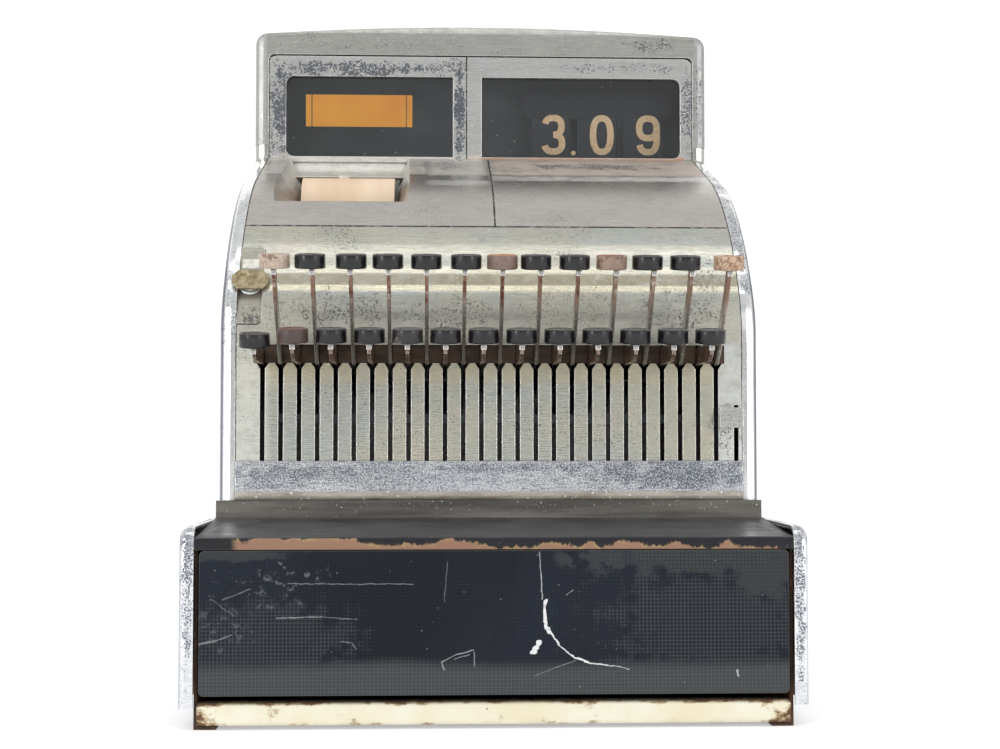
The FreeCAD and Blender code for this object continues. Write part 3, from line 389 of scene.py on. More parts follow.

# Covers: pressed sheet, plated in satin nickel and brushed. Warm grey, yellowed where hands and
# oil reached it, with clusters of blue-black pits, grime in the seams and edges rubbed bright, the
# bright edges partly a painted highlight. Some bands are painted light: highlight lines and shade
# across the front cover's brow, highlights on the top covers, a highlight along the hood's top and
# shade down its sides.
cover_low, cover_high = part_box("front_cover")
top_low, top_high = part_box("right_top_cover")
comb_edge = cover_high.x
seam_y = top_low.y
lid_seam_x = top_low.x - 0.00015
window_front = top_high.y + 0.0003


def zone(at, limits, soft):
    """Mask of a box-shaped zone; limits give an axis its lowest and highest value, or None for neither."""
    mask = 1.0
    for axis, (low, high) in limits.items():
        if low is not None:
            mask = product(mask, between(at[axis], low - soft, low + soft))
        if high is not None:
            mask = product(mask, between(at[axis], high + soft, high - soft))
    return mask


def satin_nickel(name, tone, yellow, pit_tone, specks, sheen, crowding=(), bands=(), seams=()):
    """Crowding lists areas of dense pits. Bands are (limits, softness, colour, share, film), where
    film is how much dull film lies on the metal; seams are (axis, middle, half width, limits)."""
    material, tree, shader = new_material(name)
    at = parts_of(own_place(tree))
    pits = effect(
        tree, pits_group, Per_Metre=620.0, Amount=specks, Crowding=worn_areas(at["X"], at["Z"], crowding))
    brushed = effect(tree, brush_group, Across=1500.0, Along=70.0)["Grain"]
    brushed = between(brushed, 0.42, 0.62)
    worn = effect(tree, edge_group, Radius=0.0008)
    dirt_and_shade = effect(tree, dirt_and_shade_group, Reach=0.006, Top_Dust=0.12)
    scratches = effect(tree, scratch_group, Scale=34.0, Amount=0.5)["Mask"]
    blotch = between(noise(tree, 11.0, 7.0), 0.4, 0.66)
    cloudy = between(noise(tree, 55.0, 7.0), 0.35, 0.75, 0.0, 0.3)
    colour = colour_mix(blotch, tone, yellow)
    colour = colour_mix(cloudy, colour, shade(tone, 0.72))
    dull = product(pits["Mask"], 0.8)
    for limits, soft, band_tone, share, film in bands:
        mask = product(zone(at, limits, soft), share)
        mask = product(mask, between(noise(tree, 110.0, 6.0), 0.25, 0.6, 0.4, 1.0))
        colour = colour_mix(mask, colour, band_tone)
        dull = larger(dull, product(mask, film))
    colour = coats(colour, [
        (brushed, 0.28, shade(tone, 0.5)),
        (scratches, 1, (0.8, 0.79, 0.74)),
        (pits["Stain"], 0.25, shade(tone, 0.55)),
        (pits["Flecks"], 0.35, (0.85, 0.85, 0.8)),
        (pits["Mask"], 0.85, pit_tone),
        # painted shade and grime where ambient occlusion finds corners
        (dirt_and_shade["Corners"], 0.8, (0.07, 0.05, 0.035)),
        (dirt_and_shade["Dust"], 1, (0.45, 0.41, 0.35)),
        # edges rubbed bright, partly a painted highlight along them
        (worn["Mask"], 0.85, (0.97, 0.96, 0.92)),
    ])
    dull = larger(dull, dirt_and_shade["Corners"])
    grime = 0.0
    broken = between(noise(tree, 240.0, 5.0), 0.3, 0.55, 0.45, 1.0)
    for axis, middle, half, limits in seams:
        off_seam = maths("ABSOLUTE", minus(at[axis], middle))
        line = product(between(off_seam, half, half * 0.5), zone(at, limits, 0.0005))
        grime = larger(grime, product(line, broken))
    colour = colour_mix(grime, colour, (0.025, 0.02, 0.016))
    dull = larger(dull, grime)
    metal = minus(0.8, product(dull, 0.75))
    rough = plus(between(blotch, 0.0, 1.0, sheen, sheen + 0.09), product(dull, 0.35))
    height = minus(product(brushed, 0.25), pits["Mask"])
    normal = bump(height, 0.00015, 0.5, worn["Normal"])
    connect(shader, Base_Color=colour, Metallic=metal, Roughness=rough, Normal=normal)
    return material


frame_seam_x = -0.01265
frame_foot = 0.4172
cover_plating = satin_nickel(
    "cover_plating", (0.55, 0.575, 0.53), (0.59, 0.56, 0.45), (0.06, 0.065, 0.075), 0.5, 0.15,
    [
        (-0.155, 0.27, 0.02, 0.012, 0.7), (-0.105, 0.275, 0.045, 0.014, 0.8),
        (-0.03, 0.272, 0.04, 0.016, 0.7), (0.06, 0.276, 0.05, 0.014, 0.6),
        (0.13, 0.272, 0.04, 0.02, 0.8), (0.155, 0.3, 0.02, 0.02, 0.6),
        (0.165, 0.19, 0.012, 0.02, 0.8), (-0.16, 0.2, 0.015, 0.03, 0.3), (-0.05, 0.2, 0.05, 0.03, 0.3),
        (0.07, 0.19, 0.08, 0.02, 0.35), (0.02, 0.36, 0.1, 0.02, 0.3),
    ],
    [
        # The next four bands are painted light across the brow: painted shade, then three painted highlight
        # lines.
        ({"Z": (0.2918, 0.3005)}, 0.0012, (0.34, 0.3, 0.2), 0.9, 0.3),
        ({"Z": (0.2878, 0.2918)}, 0.0008, (0.97, 0.9, 0.66), 0.9, 0.1),
        ({"Z": (0.3012, 0.3065)}, 0.0012, (0.92, 0.88, 0.7), 0.8, 0.1),
        ({"Z": (0.314, 0.3235)}, 0.002, (0.85, 0.82, 0.7), 0.75, 0.1),
        ({"Z": (0.222, 0.24)}, 0.006, (0.6, 0.54, 0.36), 0.9, 0.3),
        ({"X": (0.1, None), "Z": (0.17, 0.24)}, 0.01, (0.62, 0.58, 0.42), 0.6, 0.2),
        ({"Z": (0.25, 0.28)}, 0.006, (0.66, 0.63, 0.54), 0.6, 0.55),
        ({"X": (None, -0.155), "Z": (0.15, 0.25)}, 0.004, (0.85, 0.86, 0.78), 0.8, 0.3),
        ({"X": (0.1585, None), "Z": (0.15, 0.25)}, 0.004, (0.85, 0.88, 0.88), 0.8, 0.3),
    ],
    [("Y", seam_y, 0.0009, {}), ("X", -comb_edge, 0.0006, {}), ("X", comb_edge, 0.0006, {})],
)
right_cover = (lid_seam_x - 0.0005, None)
beside_seam = (-0.045, lid_seam_x - 0.0005)
sill = (window_front - 0.068, window_front)
below_frame = (None, frame_foot)
top_plating = satin_nickel(
    "top_plating", (0.6, 0.57, 0.535), (0.56, 0.525, 0.485), (0.03, 0.042, 0.07), 0.4, 0.24,
    [
        (-0.165, 0.46, 0.013, 0.04, 1.5), (-0.11, 0.4925, 0.07, 0.0075, 1.3),
        (-0.03, 0.492, 0.02, 0.01, 1.0), (-0.0185, 0.46, 0.005, 0.045, 1.6),
        (-0.168, 0.425, 0.01, 0.02, 0.5), (0.1735, 0.46, 0.008, 0.045, 1.0),
        (0.12, 0.4945, 0.06, 0.005, 0.7), (0.09, 0.406, 0.06, 0.006, 1.1), (0.02, 0.402, 0.02, 0.008, 0.7),
        (-0.03, 0.408, 0.03, 0.006, 0.8), (-0.175, 0.44, 0.004, 0.06, 0.8),
    ],
    [
        ({"Z": (frame_foot + 0.001, None)}, 0.001, (0.54, 0.555, 0.55), 0.9, 0.0),
        ({"X": right_cover, "Y": sill, "Z": below_frame}, 0.008, (0.62, 0.52, 0.44), 0.85, 0.9),
        # painted highlight along a ridge across the right cover
        ({"X": right_cover, "Y": (0.026, 0.043), "Z": below_frame}, 0.003, (0.88, 0.88, 0.87), 0.85, 0.5),
        ({"X": beside_seam, "Y": sill, "Z": below_frame}, 0.006, (0.62, 0.61, 0.56), 0.8, 0.8),
        ({"X": (None, -0.045), "Y": (0.05, window_front), "Z": below_frame}, 0.004,
         (0.72, 0.71, 0.65), 0.7, 0.7),
        # painted highlight along the same ridge, left of the seam
        ({"X": beside_seam, "Y": (0.012, 0.026), "Z": below_frame}, 0.005, (0.85, 0.85, 0.82), 0.7, 0.4),
        ({"X": (-0.012, 0.17), "Y": (window_front - 0.004, None), "Z": (0.411, 0.4195)}, 0.0014,
         (0.55, 0.3, 0.18), 0.95, 0.9),
        # painted highlight along the left sill under the window
        ({"X": (None, 0.0), "Y": (window_front - 0.012, None), "Z": (0.405, 0.4195)}, 0.002,
         (0.88, 0.86, 0.8), 0.7, 0.4),
    ],
    [
        ("Y", seam_y, 0.0009, {}), ("X", -comb_edge, 0.0008, {}), ("X", comb_edge, 0.0008, {}),
        ("X", lid_seam_x, 0.0009, {"Y": (None, window_front - 0.002), "Z": (None, frame_foot)}),
        ("X", frame_seam_x, 0.0008, {"Z": (frame_foot, None)}),
    ],
)
hood_plating = satin_nickel(
    "hood_plating", (0.48, 0.49, 0.455), (0.43, 0.44, 0.4), (0.07, 0.07, 0.075), 0.5, 0.2,
    [(0.14, 0.515, 0.03, 0.006, 1.0), (0.182, 0.47, 0.006, 0.04, 0.7), (-0.1, 0.512, 0.06, 0.004, 0.5)],
    [
        # painted shade down both sides of the hood
        ({"X": (0.1795, None), "Y": (None, 0.2)}, 0.0015, (0.36, 0.36, 0.37), 0.85, 0.6),
        ({"X": (None, -0.1795), "Y": (None, 0.2)}, 0.0015, (0.46, 0.47, 0.46), 0.8, 0.5),
        # painted highlight along the hood's top
        ({"Z": (0.523, None)}, 0.0015, (0.95, 0.95, 0.9), 0.7, 0.2),
    ],
)
escutcheon_plating = satin_nickel(
    "escutcheon_plating", (0.5, 0.49, 0.43), (0.46, 0.42, 0.34), (0.05, 0.05, 0.055), 0.7, 0.2,
    [(-0.168, 0.262, 0.01, 0.014, 1.0)])
finish_node("front_cover", cover_plating)
finish_node("lock_plate", escutcheon_plating)
for name in ("right_top_cover", "printer_lid", "right_bezel"):
    finish_node(name, top_plating)
for name in ("indicator_hood", "back_cover"):
    finish_node(name, hood_plating)

# Bright plating of the trim band, side rims, skirts and the release lever's tip: chrome that has
# pitted to blue-grey, thickest near the edges, with bright edges that are partly a painted highlight.
# A dark stripe down the outer edges of the rims and skirts is a painted reflection. The band's
# moulding has gone cream and brown.


def pitted_chrome(name, tone, stain, specks, per_metre, crowding=(), mottling=0.35, bands=()):
    """Crowding and bands as for the satin plating, without the film."""
    material, tree, shader = new_material(name)
    at = parts_of(own_place(tree))
    pits = effect(
        tree, pits_group, Per_Metre=per_metre, Amount=specks, Crowding=worn_areas(at["X"], at["Z"], crowding))
    brushed = between(effect(tree, brush_group, Across=1100.0, Along=110.0)["Grain"], 0.42, 0.6)
    worn = effect(tree, edge_group, Radius=0.0007)
    dirt_and_shade = effect(tree, dirt_and_shade_group, Reach=0.005, Top_Dust=0.1)
    haze = between(noise(tree, 30.0, 7.0, object_place(tree, (0.4, 1, 1))), 0.38, 0.68)
    mottle = product(between(noise(tree, 1000.0, 2.0), 0.46, 0.56), mottling)
    colour = coats(colour_mix(product(haze, 0.5), tone, stain), [
        (product(brushed, mottling), 1, shade(stain, 0.75)),
        (mottle, 1, shade(tone, 1.6)),
        (pits["Flecks"], 0.5, (0.95, 0.96, 0.97)),
        (pits["Stain"], 0.3, shade(stain, 0.8)),
        (pits["Mask"], 0.85, (0.05, 0.065, 0.1)),
        # painted shade and grime where ambient occlusion finds corners
        (dirt_and_shade["Corners"], 0.7, (0.09, 0.06, 0.035)),
        # edges rubbed bright, partly a painted highlight along them
        (worn["Mask"], 0.6, (0.95, 0.96, 0.97)),
    ])
    for limits, soft, band_tone, share in bands:
        colour = colour_mix(product(zone(at, limits, soft), share), colour, band_tone)
    dull = larger(product(pits["Mask"], 0.9), dirt_and_shade["Corners"])
    metal = minus(1.0, product(dull, 0.8))
    rough = plus(between(haze, 0.0, 1.0, 0.08, 0.2), product(dull, 0.4))
    rough = plus(rough, product(mottle, 0.15))
    normal = bump(minus(1.0, pits["Mask"]), 0.0002, 0.6, worn["Normal"])
    connect(shader, Base_Color=colour, Metallic=metal, Roughness=rough, Normal=normal)
    return material


def paint_over(material, mask, colour, roughness):
    """Paints one more layer, dull and unplated, over a finished material where the mask is 1."""
    tree = material.node_tree
    shader = tree.nodes["Principled BSDF"].inputs
    under = {name: shader[name].links[0].from_socket for name in ("Base Color", "Metallic", "Roughness")}
    bare = minus(1.0, mask)
    rough = plus(product(under["Roughness"], bare), product(mask, roughness))
    connect(
        shader, Base_Color=colour_mix(mask, under["Base Color"], colour),
        Metallic=product(under["Metallic"], bare), Roughness=rough,
    )


band_chrome = pitted_chrome(
    "band_chrome", (0.72, 0.75, 0.78), (0.17, 0.21, 0.28), 0.9, 850.0,
    [
        (-0.13, 0.159, 0.06, 0.006, 0.9), (-0.15, 0.152, 0.03, 0.004, 0.7), (0.02, 0.163, 0.07, 0.004, 0.8),
        (0.13, 0.158, 0.07, 0.014, 1.0), (-0.06, 0.155, 0.08, 0.003, 0.5),
    ],
    0.6,
)
tree = band_chrome.node_tree
band_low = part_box("trim_band")[0].z
on_moulding = product(between(parts_of(own_place(tree))["Z"], band_low + 0.0066, band_low + 0.0058), 0.8)
stained = between(noise(tree, 60.0, 7.0, object_place(tree, (0.4, 1, 1.5))), 0.42, 0.66)
cream = colour_mix(stained, (0.5, 0.45, 0.36), (0.24, 0.19, 0.13))
chips = effect(tree, speckle_group, Per_Metre=420.0, Density=0.14, Size=0.4)["Mask"]
cream = colour_mix(chips, cream, (0.95, 0.93, 0.86))
paint_over(band_chrome, on_moulding, cream, 0.35)
rim_top = 0.412
rim_chrome = pitted_chrome(
    "rim_chrome", (0.96, 0.97, 0.97), (0.74, 0.76, 0.79), 0.2, 900.0,
    [
        (-0.183, 0.27, 0.008, 0.04, 0.9), (0.183, 0.33, 0.008, 0.06, 1.0), (0.183, 0.22, 0.006, 0.03, 0.4),
        (0.183, 0.385, 0.01, 0.02, 1.0), (-0.183, 0.34, 0.006, 0.03, 0.6),
    ],
    0.25,
    [
        # painted reflection: a dark blue-grey stripe down the outer edge of each rim
        ({"X": (0.1862, None), "Z": (None, rim_top)}, 0.0006, (0.14, 0.16, 0.2), 0.85),
        ({"X": (None, -0.1862), "Z": (None, rim_top)}, 0.0006, (0.14, 0.16, 0.2), 0.85),
        ({"Z": (rim_top, None)}, 0.0006, (0.5, 0.5, 0.46), 0.9),
    ],
)
skirt_low, skirt_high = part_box("side_skirts")
inner_side = skirt_high.x - 0.0055
skirt_mid = (skirt_low.z + skirt_high.z) / 2
skirt_chrome = pitted_chrome(
    "skirt_chrome", (0.84, 0.85, 0.87), (0.42, 0.44, 0.49), 0.5, 800.0,
    [
        (side * inner_side, skirt_mid + 0.015, 0.0042, 0.06, 1.1)
        for side in (-1, 1)
    ] + [
        (side * (inner_side - 0.004), skirt_high.z - 0.02, 0.008, 0.02, 0.9)
        for side in (-1, 1)
    ],
    0.25,
    [
        # painted reflection: a dark stripe down the outer edge of each skirt
        ({"X": (skirt_high.x - 0.0012, None)}, 0.0004, (0.35, 0.38, 0.42), 0.7),
        ({"X": (None, -skirt_high.x + 0.0012)}, 0.0004, (0.35, 0.38, 0.42), 0.7),
    ],
)
tip_chrome = pitted_chrome("tip_chrome", (0.82, 0.81, 0.79), (0.6, 0.56, 0.5), 0.3, 900.0)
finish_node("trim_band", band_chrome)
finish_node("left_side_panel", rim_chrome)
finish_node("right_side_panel", rim_chrome)
finish_node("side_skirts", skirt_chrome)
finish_node("release_lever", tip_chrome)

# Ledge over the drawer: one folded sheet in dark grey enamel, dusty on its flat, flecked with white
# on the riser behind, and worn through to copper-brown primer along the lower half of its lip.
# Bright lines along the flat's creases are painted highlights.
lip_low, lip_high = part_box("ledge_cover")
lip_front = lip_low.y
lip_height = 0.0078

stroke_group, given, result = new_group(
    "paint_stroke",
    {"U": 0.0, "V": 0.0, "U 1": 0.0, "V 1": 0.0, "U 2": 0.01, "V 2": 0.0, "Width": 0.0004}, ["Mask"])
tree = stroke_group
shake = minus(noise(tree, 160.0, 4.0), 0.5)
shake = product(shake, 0.0022)
from_u = minus(plus(given["U"], shake), given["U 1"])
from_v = minus(plus(given["V"], shake), given["V 1"])
run_u = minus(given["U 2"], given["U 1"])
run_v = minus(given["V 2"], given["V 1"])
dot = plus(product(from_u, run_u), product(from_v, run_v))
square = plus(product(run_u, run_u), product(run_v, run_v))
share = maths("DIVIDE", dot, plus(square, 1e-9))
share = maths("MINIMUM", larger(share, 0.0), 1.0)
off_u = minus(from_u, product(share, run_u))
off_v = minus(from_v, product(share, run_v))
off = plus(product(off_u, off_u), product(off_v, off_v))
uneven = between(noise(tree, 300.0, 3.0), 0.3, 0.6, 0.35, 1.1)
edge = plus(product(given["Width"], uneven), 0.0002)
near = minus(edge, maths("SQRT", off))
near = maths("DIVIDE", near, 0.0003)
near = maths("MINIMUM", larger(near, 0.0), 1.0)
tree.links.new(near, result["Mask"])


def strokes(across, up, runs):
    """The strongest of several painted or scratched runs, each (from, to, half width, strength)."""
    strongest = 0.0
    for (u1, v1), (u2, v2), half_width, strength in runs:
        mask = effect(
            tree_of(across), stroke_group, U=across, V=up, U_1=u1, V_1=v1, U_2=u2, V_2=v2,
            Width=half_width)["Mask"]
        strongest = larger(strongest, product(mask, strength))
    return strongest


ledge_paint, tree, shader = new_material("ledge_paint")
at = parts_of(own_place(tree))
dirt_and_shade = effect(tree, dirt_and_shade_group, Reach=0.008, Top_Dust=0.55)
worn = effect(tree, edge_group, Radius=0.0008)
scratches = effect(tree, scratch_group, Scale=30.0, Amount=0.8)["Mask"]
streaks_x = noise(tree, 30.0, 6.0, object_place(tree, (0.25, 3, 3)))
on_front = between(at["Y"], lip_front + 0.0016, lip_front + 0.0008)
up_lip = maths("DIVIDE", minus(at["Z"], lip_low.z), lip_height)
outline_x = noise(tree, 42.0, 9.0, object_place(tree, (1, 0.2, 0.5)), 0.72)
toward_left = between(at["X"], 0.02, -0.09, -0.12, 0.28)
border = plus(between(outline_x, 0.36, 0.64, 0.1, 0.95), toward_left)
below = minus(border, up_lip)
off_lip_middle = maths("ABSOLUTE", minus(at["X"], 0.008))
along_lip = minus(0.176, off_lip_middle)
lip_share = product(on_front, between(along_lip, 0.0, 0.006))
primer = product(lip_share, between(below, 0.0, 0.1))
primer_edge = product(between(below, -0.06, 0.04), between(below, 0.3, 0.12))
primer_edge = product(lip_share, primer_edge)
flecks = effect(tree, speckle_group, Per_Metre=620.0, Density=0.22, Size=0.3)["Mask"]
on_riser = between(at["Z"], lip_high.z - 0.013, lip_high.z - 0.0115)
near_top = between(at["Z"], lip_high.z - 0.009, lip_high.z - 0.002, 0.25, 1.0)
flat_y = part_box("trim_band")[0].y
crease_bend_y = flat_y - 0.032
# painted highlights along the creases where the flat bends down toward each side
crease_highlights = strokes(at["X"], at["Y"], [
    ((-0.19, lip_front + 0.004), (-0.179, crease_bend_y), 0.0003, 0.6),
    ((0.19, lip_front + 0.004), (0.179, crease_bend_y), 0.0003, 0.6),
    ((-0.179, crease_bend_y), (-0.155, flat_y - 0.012), 0.00035, 0.5),
    ((0.179, crease_bend_y), (0.155, flat_y - 0.012), 0.00035, 0.5),
])
yellowed = product(primer_edge, between(noise(tree, 130.0, 5.0), 0.4, 0.6))
riser_tone = colour_mix(between(streaks_x, 0.35, 0.65), (0.085, 0.08, 0.07), (0.2, 0.19, 0.17))
colour = coats(colour_mix(between(streaks_x, 0.35, 0.7), (0.026, 0.028, 0.031), (0.05, 0.05, 0.052)), [
    (on_riser, 1, riser_tone),
    (dirt_and_shade["Dust"], 1, (0.13, 0.13, 0.13)),
    (on_front, 1, (0.014, 0.014, 0.018)),
    (primer, 1, colour_mix(streaks_x, (0.36, 0.21, 0.14), (0.24, 0.13, 0.085))),
    (yellowed, 0.7, (0.4, 0.29, 0.13)),
    (worn["Mask"], 0.35, (0.24, 0.22, 0.2)),
    (scratches, 0.5, (0.3, 0.3, 0.3)),
    (crease_highlights, 1, (0.45, 0.45, 0.44)),
    (product(product(flecks, on_riser), near_top), 1, (0.75, 0.73, 0.69)),
])
rough = between(streaks_x, 0.3, 0.7, 0.32, 0.45)
rough = plus(rough, product(dirt_and_shade["Dust"], 0.3))
height = minus(product(streaks_x, 0.4), primer)
connect(
    shader, Base_Color=colour, Roughness=plus(rough, product(primer, 0.2)),
    Normal=bump(height, 0.0004, 0.5, worn["Normal"]), Specular_IOR_Level=0.3,
)
finish_node("ledge_cover", ledge_paint)

# Drawer front: a wooden board under pressed sheet, painted navy black over a fine weave of lines
# that shows where the paint has thinned, with the scratches and chips of long use.
front_low, front_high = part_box("drawer_front")
board_width = front_high.x - front_low.x
board_height = front_high.z - front_low.z

# Ends of each scratch as shares of the board's width and height from its lower left corner, its
# half width in millimetres, and how bright it is
scratch_shares = (
    ((0.574, 0.985), (0.5765, 0.83), 0.25, 0.45), ((0.5765, 0.83), (0.578, 0.66), 0.25, 0.55),
    ((0.586, 0.655), (0.583, 0.6), 0.6, 1.0), ((0.5825, 0.65), (0.5805, 0.5), 0.45, 1.0),
    ((0.583, 0.6), (0.584, 0.46), 0.9, 1.0), ((0.5865, 0.46), (0.59, 0.43), 0.9, 1.0),
    ((0.573, 0.36), (0.565, 0.3), 1.7, 1.0), ((0.568, 0.34), (0.56, 0.29), 0.9, 1.0),
    ((0.59, 0.46), (0.598, 0.39), 0.5, 1.0), ((0.598, 0.39), (0.612, 0.32), 0.5, 1.0),
    ((0.612, 0.32), (0.634, 0.255), 0.45, 1.0), ((0.634, 0.255), (0.662, 0.215), 0.5, 1.0),
    ((0.662, 0.215), (0.69, 0.2), 0.35, 0.9), ((0.69, 0.2), (0.727, 0.175), 0.25, 0.7),
    ((0.635, 0.235), (0.6, 0.185), 0.2, 0.3), ((0.6, 0.185), (0.565, 0.13), 0.15, 0.25),
    ((0.413, 0.175), (0.408, 0.23), 0.35, 0.3), ((0.408, 0.23), (0.43, 0.275), 0.3, 0.35),
    ((0.43, 0.275), (0.462, 0.31), 0.3, 0.45), ((0.462, 0.31), (0.464, 0.2), 0.25, 0.35),
    ((0.43, 0.25), (0.455, 0.28), 0.25, 0.3), ((0.15, 0.775), (0.2, 0.77), 0.25, 0.22),
    ((0.2, 0.77), (0.36, 0.767), 0.2, 0.25), ((0.13, 0.535), (0.205, 0.545), 0.3, 0.3),
    ((0.205, 0.545), (0.265, 0.525), 0.2, 0.22), ((0.04, 0.665), (0.085, 0.735), 0.35, 0.16),
    ((0.02, 0.67), (0.06, 0.55), 0.3, 0.12), ((0.0, 0.36), (0.03, 0.385), 0.6, 0.2),
    ((0.03, 0.385), (0.055, 0.42), 0.4, 0.2), ((0.24, 0.375), (0.255, 0.365), 0.35, 0.25),
    ((0.258, 0.365), (0.264, 0.32), 0.35, 0.2), ((0.418, 0.92), (0.412, 0.64), 0.2, 0.18),
    ((0.91, 0.16), (0.912, 0.12), 0.5, 0.5), ((0.62, 0.69), (0.63, 0.72), 0.4, 0.3),
)
front_paint, tree, shader = new_material("front_paint")
at = parts_of(own_place(tree))
marks = strokes(at["X"], at["Z"], [
    (
        (front_low.x + u1 * board_width, front_low.z + v1 * board_height),
        (front_low.x + u2 * board_width, front_low.z + v2 * board_height), half_width_mm / 1000, strength,
    )
    for (u1, v1), (u2, v2), half_width_mm, strength in scratch_shares
])
weave_pitch = 0.0024
lines = 0.0
for axis in ("X", "Z"):
    wave = maths("PINGPONG", at[axis], weave_pitch / 2)
    lines = larger(lines, between(wave, weave_pitch * 0.22, weave_pitch * 0.08))
patchy = noise(tree, 9.0, 6.0, object_place(tree, (1.0, 1, 0.7)))
low_edge = plus(at["Z"], product(patchy, 0.012))
low_down = between(low_edge, front_low.z + 0.03, front_low.z + 0.019)
corner = worn_areas(at["X"], at["Z"], [
    (0.13, front_high.z - 0.004, 0.09, 0.012, 0.9), (0.17, front_high.z - 0.015, 0.02, 0.02, 0.8),
    (-0.165, front_high.z - 0.003, 0.04, 0.005, 0.6)])
woven = worn_areas(at["X"], at["Z"], [
    (-0.15, front_low.z + 0.035, 0.07, 0.03, 1.0), (0.14, front_low.z + 0.045, 0.08, 0.045, 1.0)])
thin_paint = larger(low_down, corner)
scratches = effect(tree, scratch_group, Scale=26.0, Amount=0.35)["Mask"]
worn = effect(tree, edge_group, Radius=0.0014)
line_tone = colour_mix(corner, (0.08, 0.09, 0.095), (0.018, 0.02, 0.024))
line_share = larger(product(woven, 0.5), product(thin_paint, 0.8))
line_share = larger(line_share, 0.06)
smudges = between(noise(tree, 240.0, 6.0), 0.55, 0.66)
left_top = worn_areas(at["X"], at["Z"], [
    (-0.135, front_high.z - 0.016, 0.03, 0.012, 1.0), (-0.145, front_high.z - 0.03, 0.03, 0.008, 0.6),
    (-0.168, front_low.z + 0.045, 0.02, 0.02, 0.5)])
specks = effect(tree, speckle_group, Per_Metre=300.0, Density=0.03, Size=0.14)["Mask"]
colour = coats(colour_mix(between(patchy, 0.35, 0.7), (0.006, 0.0085, 0.015), (0.012, 0.016, 0.026)), [
    (thin_paint, 0.85, (0.062, 0.065, 0.067)),
    (lines, line_share, line_tone),
    (product(smudges, left_top), 0.6, (0.2, 0.21, 0.22)),
    (specks, 0.5, (0.4, 0.41, 0.42)),
    (scratches, 0.5, (0.16, 0.17, 0.18)),
    (worn["Mask"], 0.5, (0.12, 0.115, 0.105)),
    (marks, 1, (0.82, 0.82, 0.83)),
])
rough = between(noise(tree, 18.0, 5.0), 0.3, 0.7, 0.32, 0.46)
rough = plus(rough, product(marks, 0.4))
height = minus(product(lines, 0.2), marks)
connect(
    shader, Base_Color=colour, Roughness=rough, Specular_IOR_Level=0.17,
    Normal=bump(height, 0.00025, 0.5, worn["Normal"]),
)
finish_node("drawer_front", front_paint)

# Base: a rail coloured cream across the front, chipped to brown rust, and a pan of plain sheet
# steel that has rusted brown all over. The rail is screwed to the pan's floor.
rail_cream, tree, shader = new_material("rail_cream")
at = parts_of(own_place(tree))
rail_low, rail_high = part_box("base_rail")
spots = noise(tree, 75.0, 8.0, object_place(tree, (0.8, 1, 1.2)), 0.72)
ends = between(maths("ABSOLUTE", at["X"]), rail_high.x - 0.03, rail_high.x, 0.0, 0.14)
near_edge = between(at["Z"], rail_high.z - 0.003, rail_high.z, 0.0, 0.17)
near_foot = between(at["Z"], rail_low.z + 0.0025, rail_low.z, 0.0, 0.07)
rusty = plus(plus(spots, ends), plus(near_edge, near_foot))
dirt_and_shade = effect(tree, dirt_and_shade_group, Reach=0.008, Top_Dust=0.3)
drops = effect(tree, speckle_group, Per_Metre=160.0, Density=0.16, Size=0.2)["Mask"]
drops = product(drops, between(at["Z"], rail_low.z + 0.003, rail_low.z + 0.009))
colour = coats(colour_mix(between(noise(tree, 20.0, 5.0), 0.35, 0.7), (0.93, 0.9, 0.74), (0.88, 0.8, 0.57)), [
    (between(rusty, 0.6, 0.68), 1, (0.55, 0.42, 0.24)),
    (between(rusty, 0.68, 0.73), 1, (0.14, 0.065, 0.03)),
    (drops, 0.8, (0.22, 0.13, 0.07)),
    # painted shade and grime where ambient occlusion finds corners
    (dirt_and_shade["Corners"], 0.8, (0.12, 0.08, 0.05)),
])
connect(
    shader, Base_Color=colour, Roughness=between(rusty, 0.6, 0.73, 0.3, 0.85),
    Normal=bump(between(rusty, 0.6, 0.73, 1.0, 0.0), 0.0004, 0.6),
)
finish_node("base_rail", rail_cream)

pan_rust, tree, shader = new_material("pan_rust")
scale = noise(tree, 65.0, 8.0, roughness=0.7)
dirt_and_shade = effect(tree, dirt_and_shade_group, Reach=0.01, Top_Dust=0.4)
colour = coats(colour_mix(between(scale, 0.35, 0.65), (0.045, 0.028, 0.02), (0.13, 0.062, 0.032)), [
    (between(noise(tree, 320.0, 3.0), 0.6, 0.72), 1, (0.26, 0.14, 0.075)),
    (dirt_and_shade["Dust"], 0.6, (0.22, 0.17, 0.13)),
])
connect(
    shader, Base_Color=colour, Roughness=between(scale, 0.3, 0.7, 0.6, 0.85), Metallic=0.15,
    Normal=bump(scale, 0.0006, 0.6),
)
for name in ("base_pan", "drawer_box"):
    finish_node(name, pan_rust)

# Working parts: blued and oiled steel frames, shafts and springs, a rough cast bed, and a tray
# moulded in dark fibre board. They lie in the dark behind the covers.


def machine_steel(name, dark, light, rust):
    material, tree, shader = new_material(name)
    grain_lines = effect(tree, brush_group, Across=700.0, Along=60.0)["Grain"]
    worn = effect(tree, edge_group, Radius=0.0006)
    oily = noise(tree, 26.0, 6.0)
    rusty = between(noise(tree, 60.0, 7.0), 0.72 - 0.3 * rust, 0.84 - 0.3 * rust)
    colour = coats(colour_mix(between(oily, 0.35, 0.7), dark, light), [
        (grain_lines, 0.2, dark),
        (rusty, 1, (0.2, 0.09, 0.045)),
        (worn["Mask"], 0.6, shade(light, 1.5)),
    ])
    metal = minus(0.95, product(rusty, 0.8))
    rough = plus(between(oily, 0.3, 0.7, 0.28, 0.42), product(rusty, 0.4))
    normal = bump(plus(grain_lines, rusty), 0.0002, 0.5, worn["Normal"])
    connect(shader, Base_Color=colour, Metallic=metal, Roughness=rough, Normal=normal)
    return material


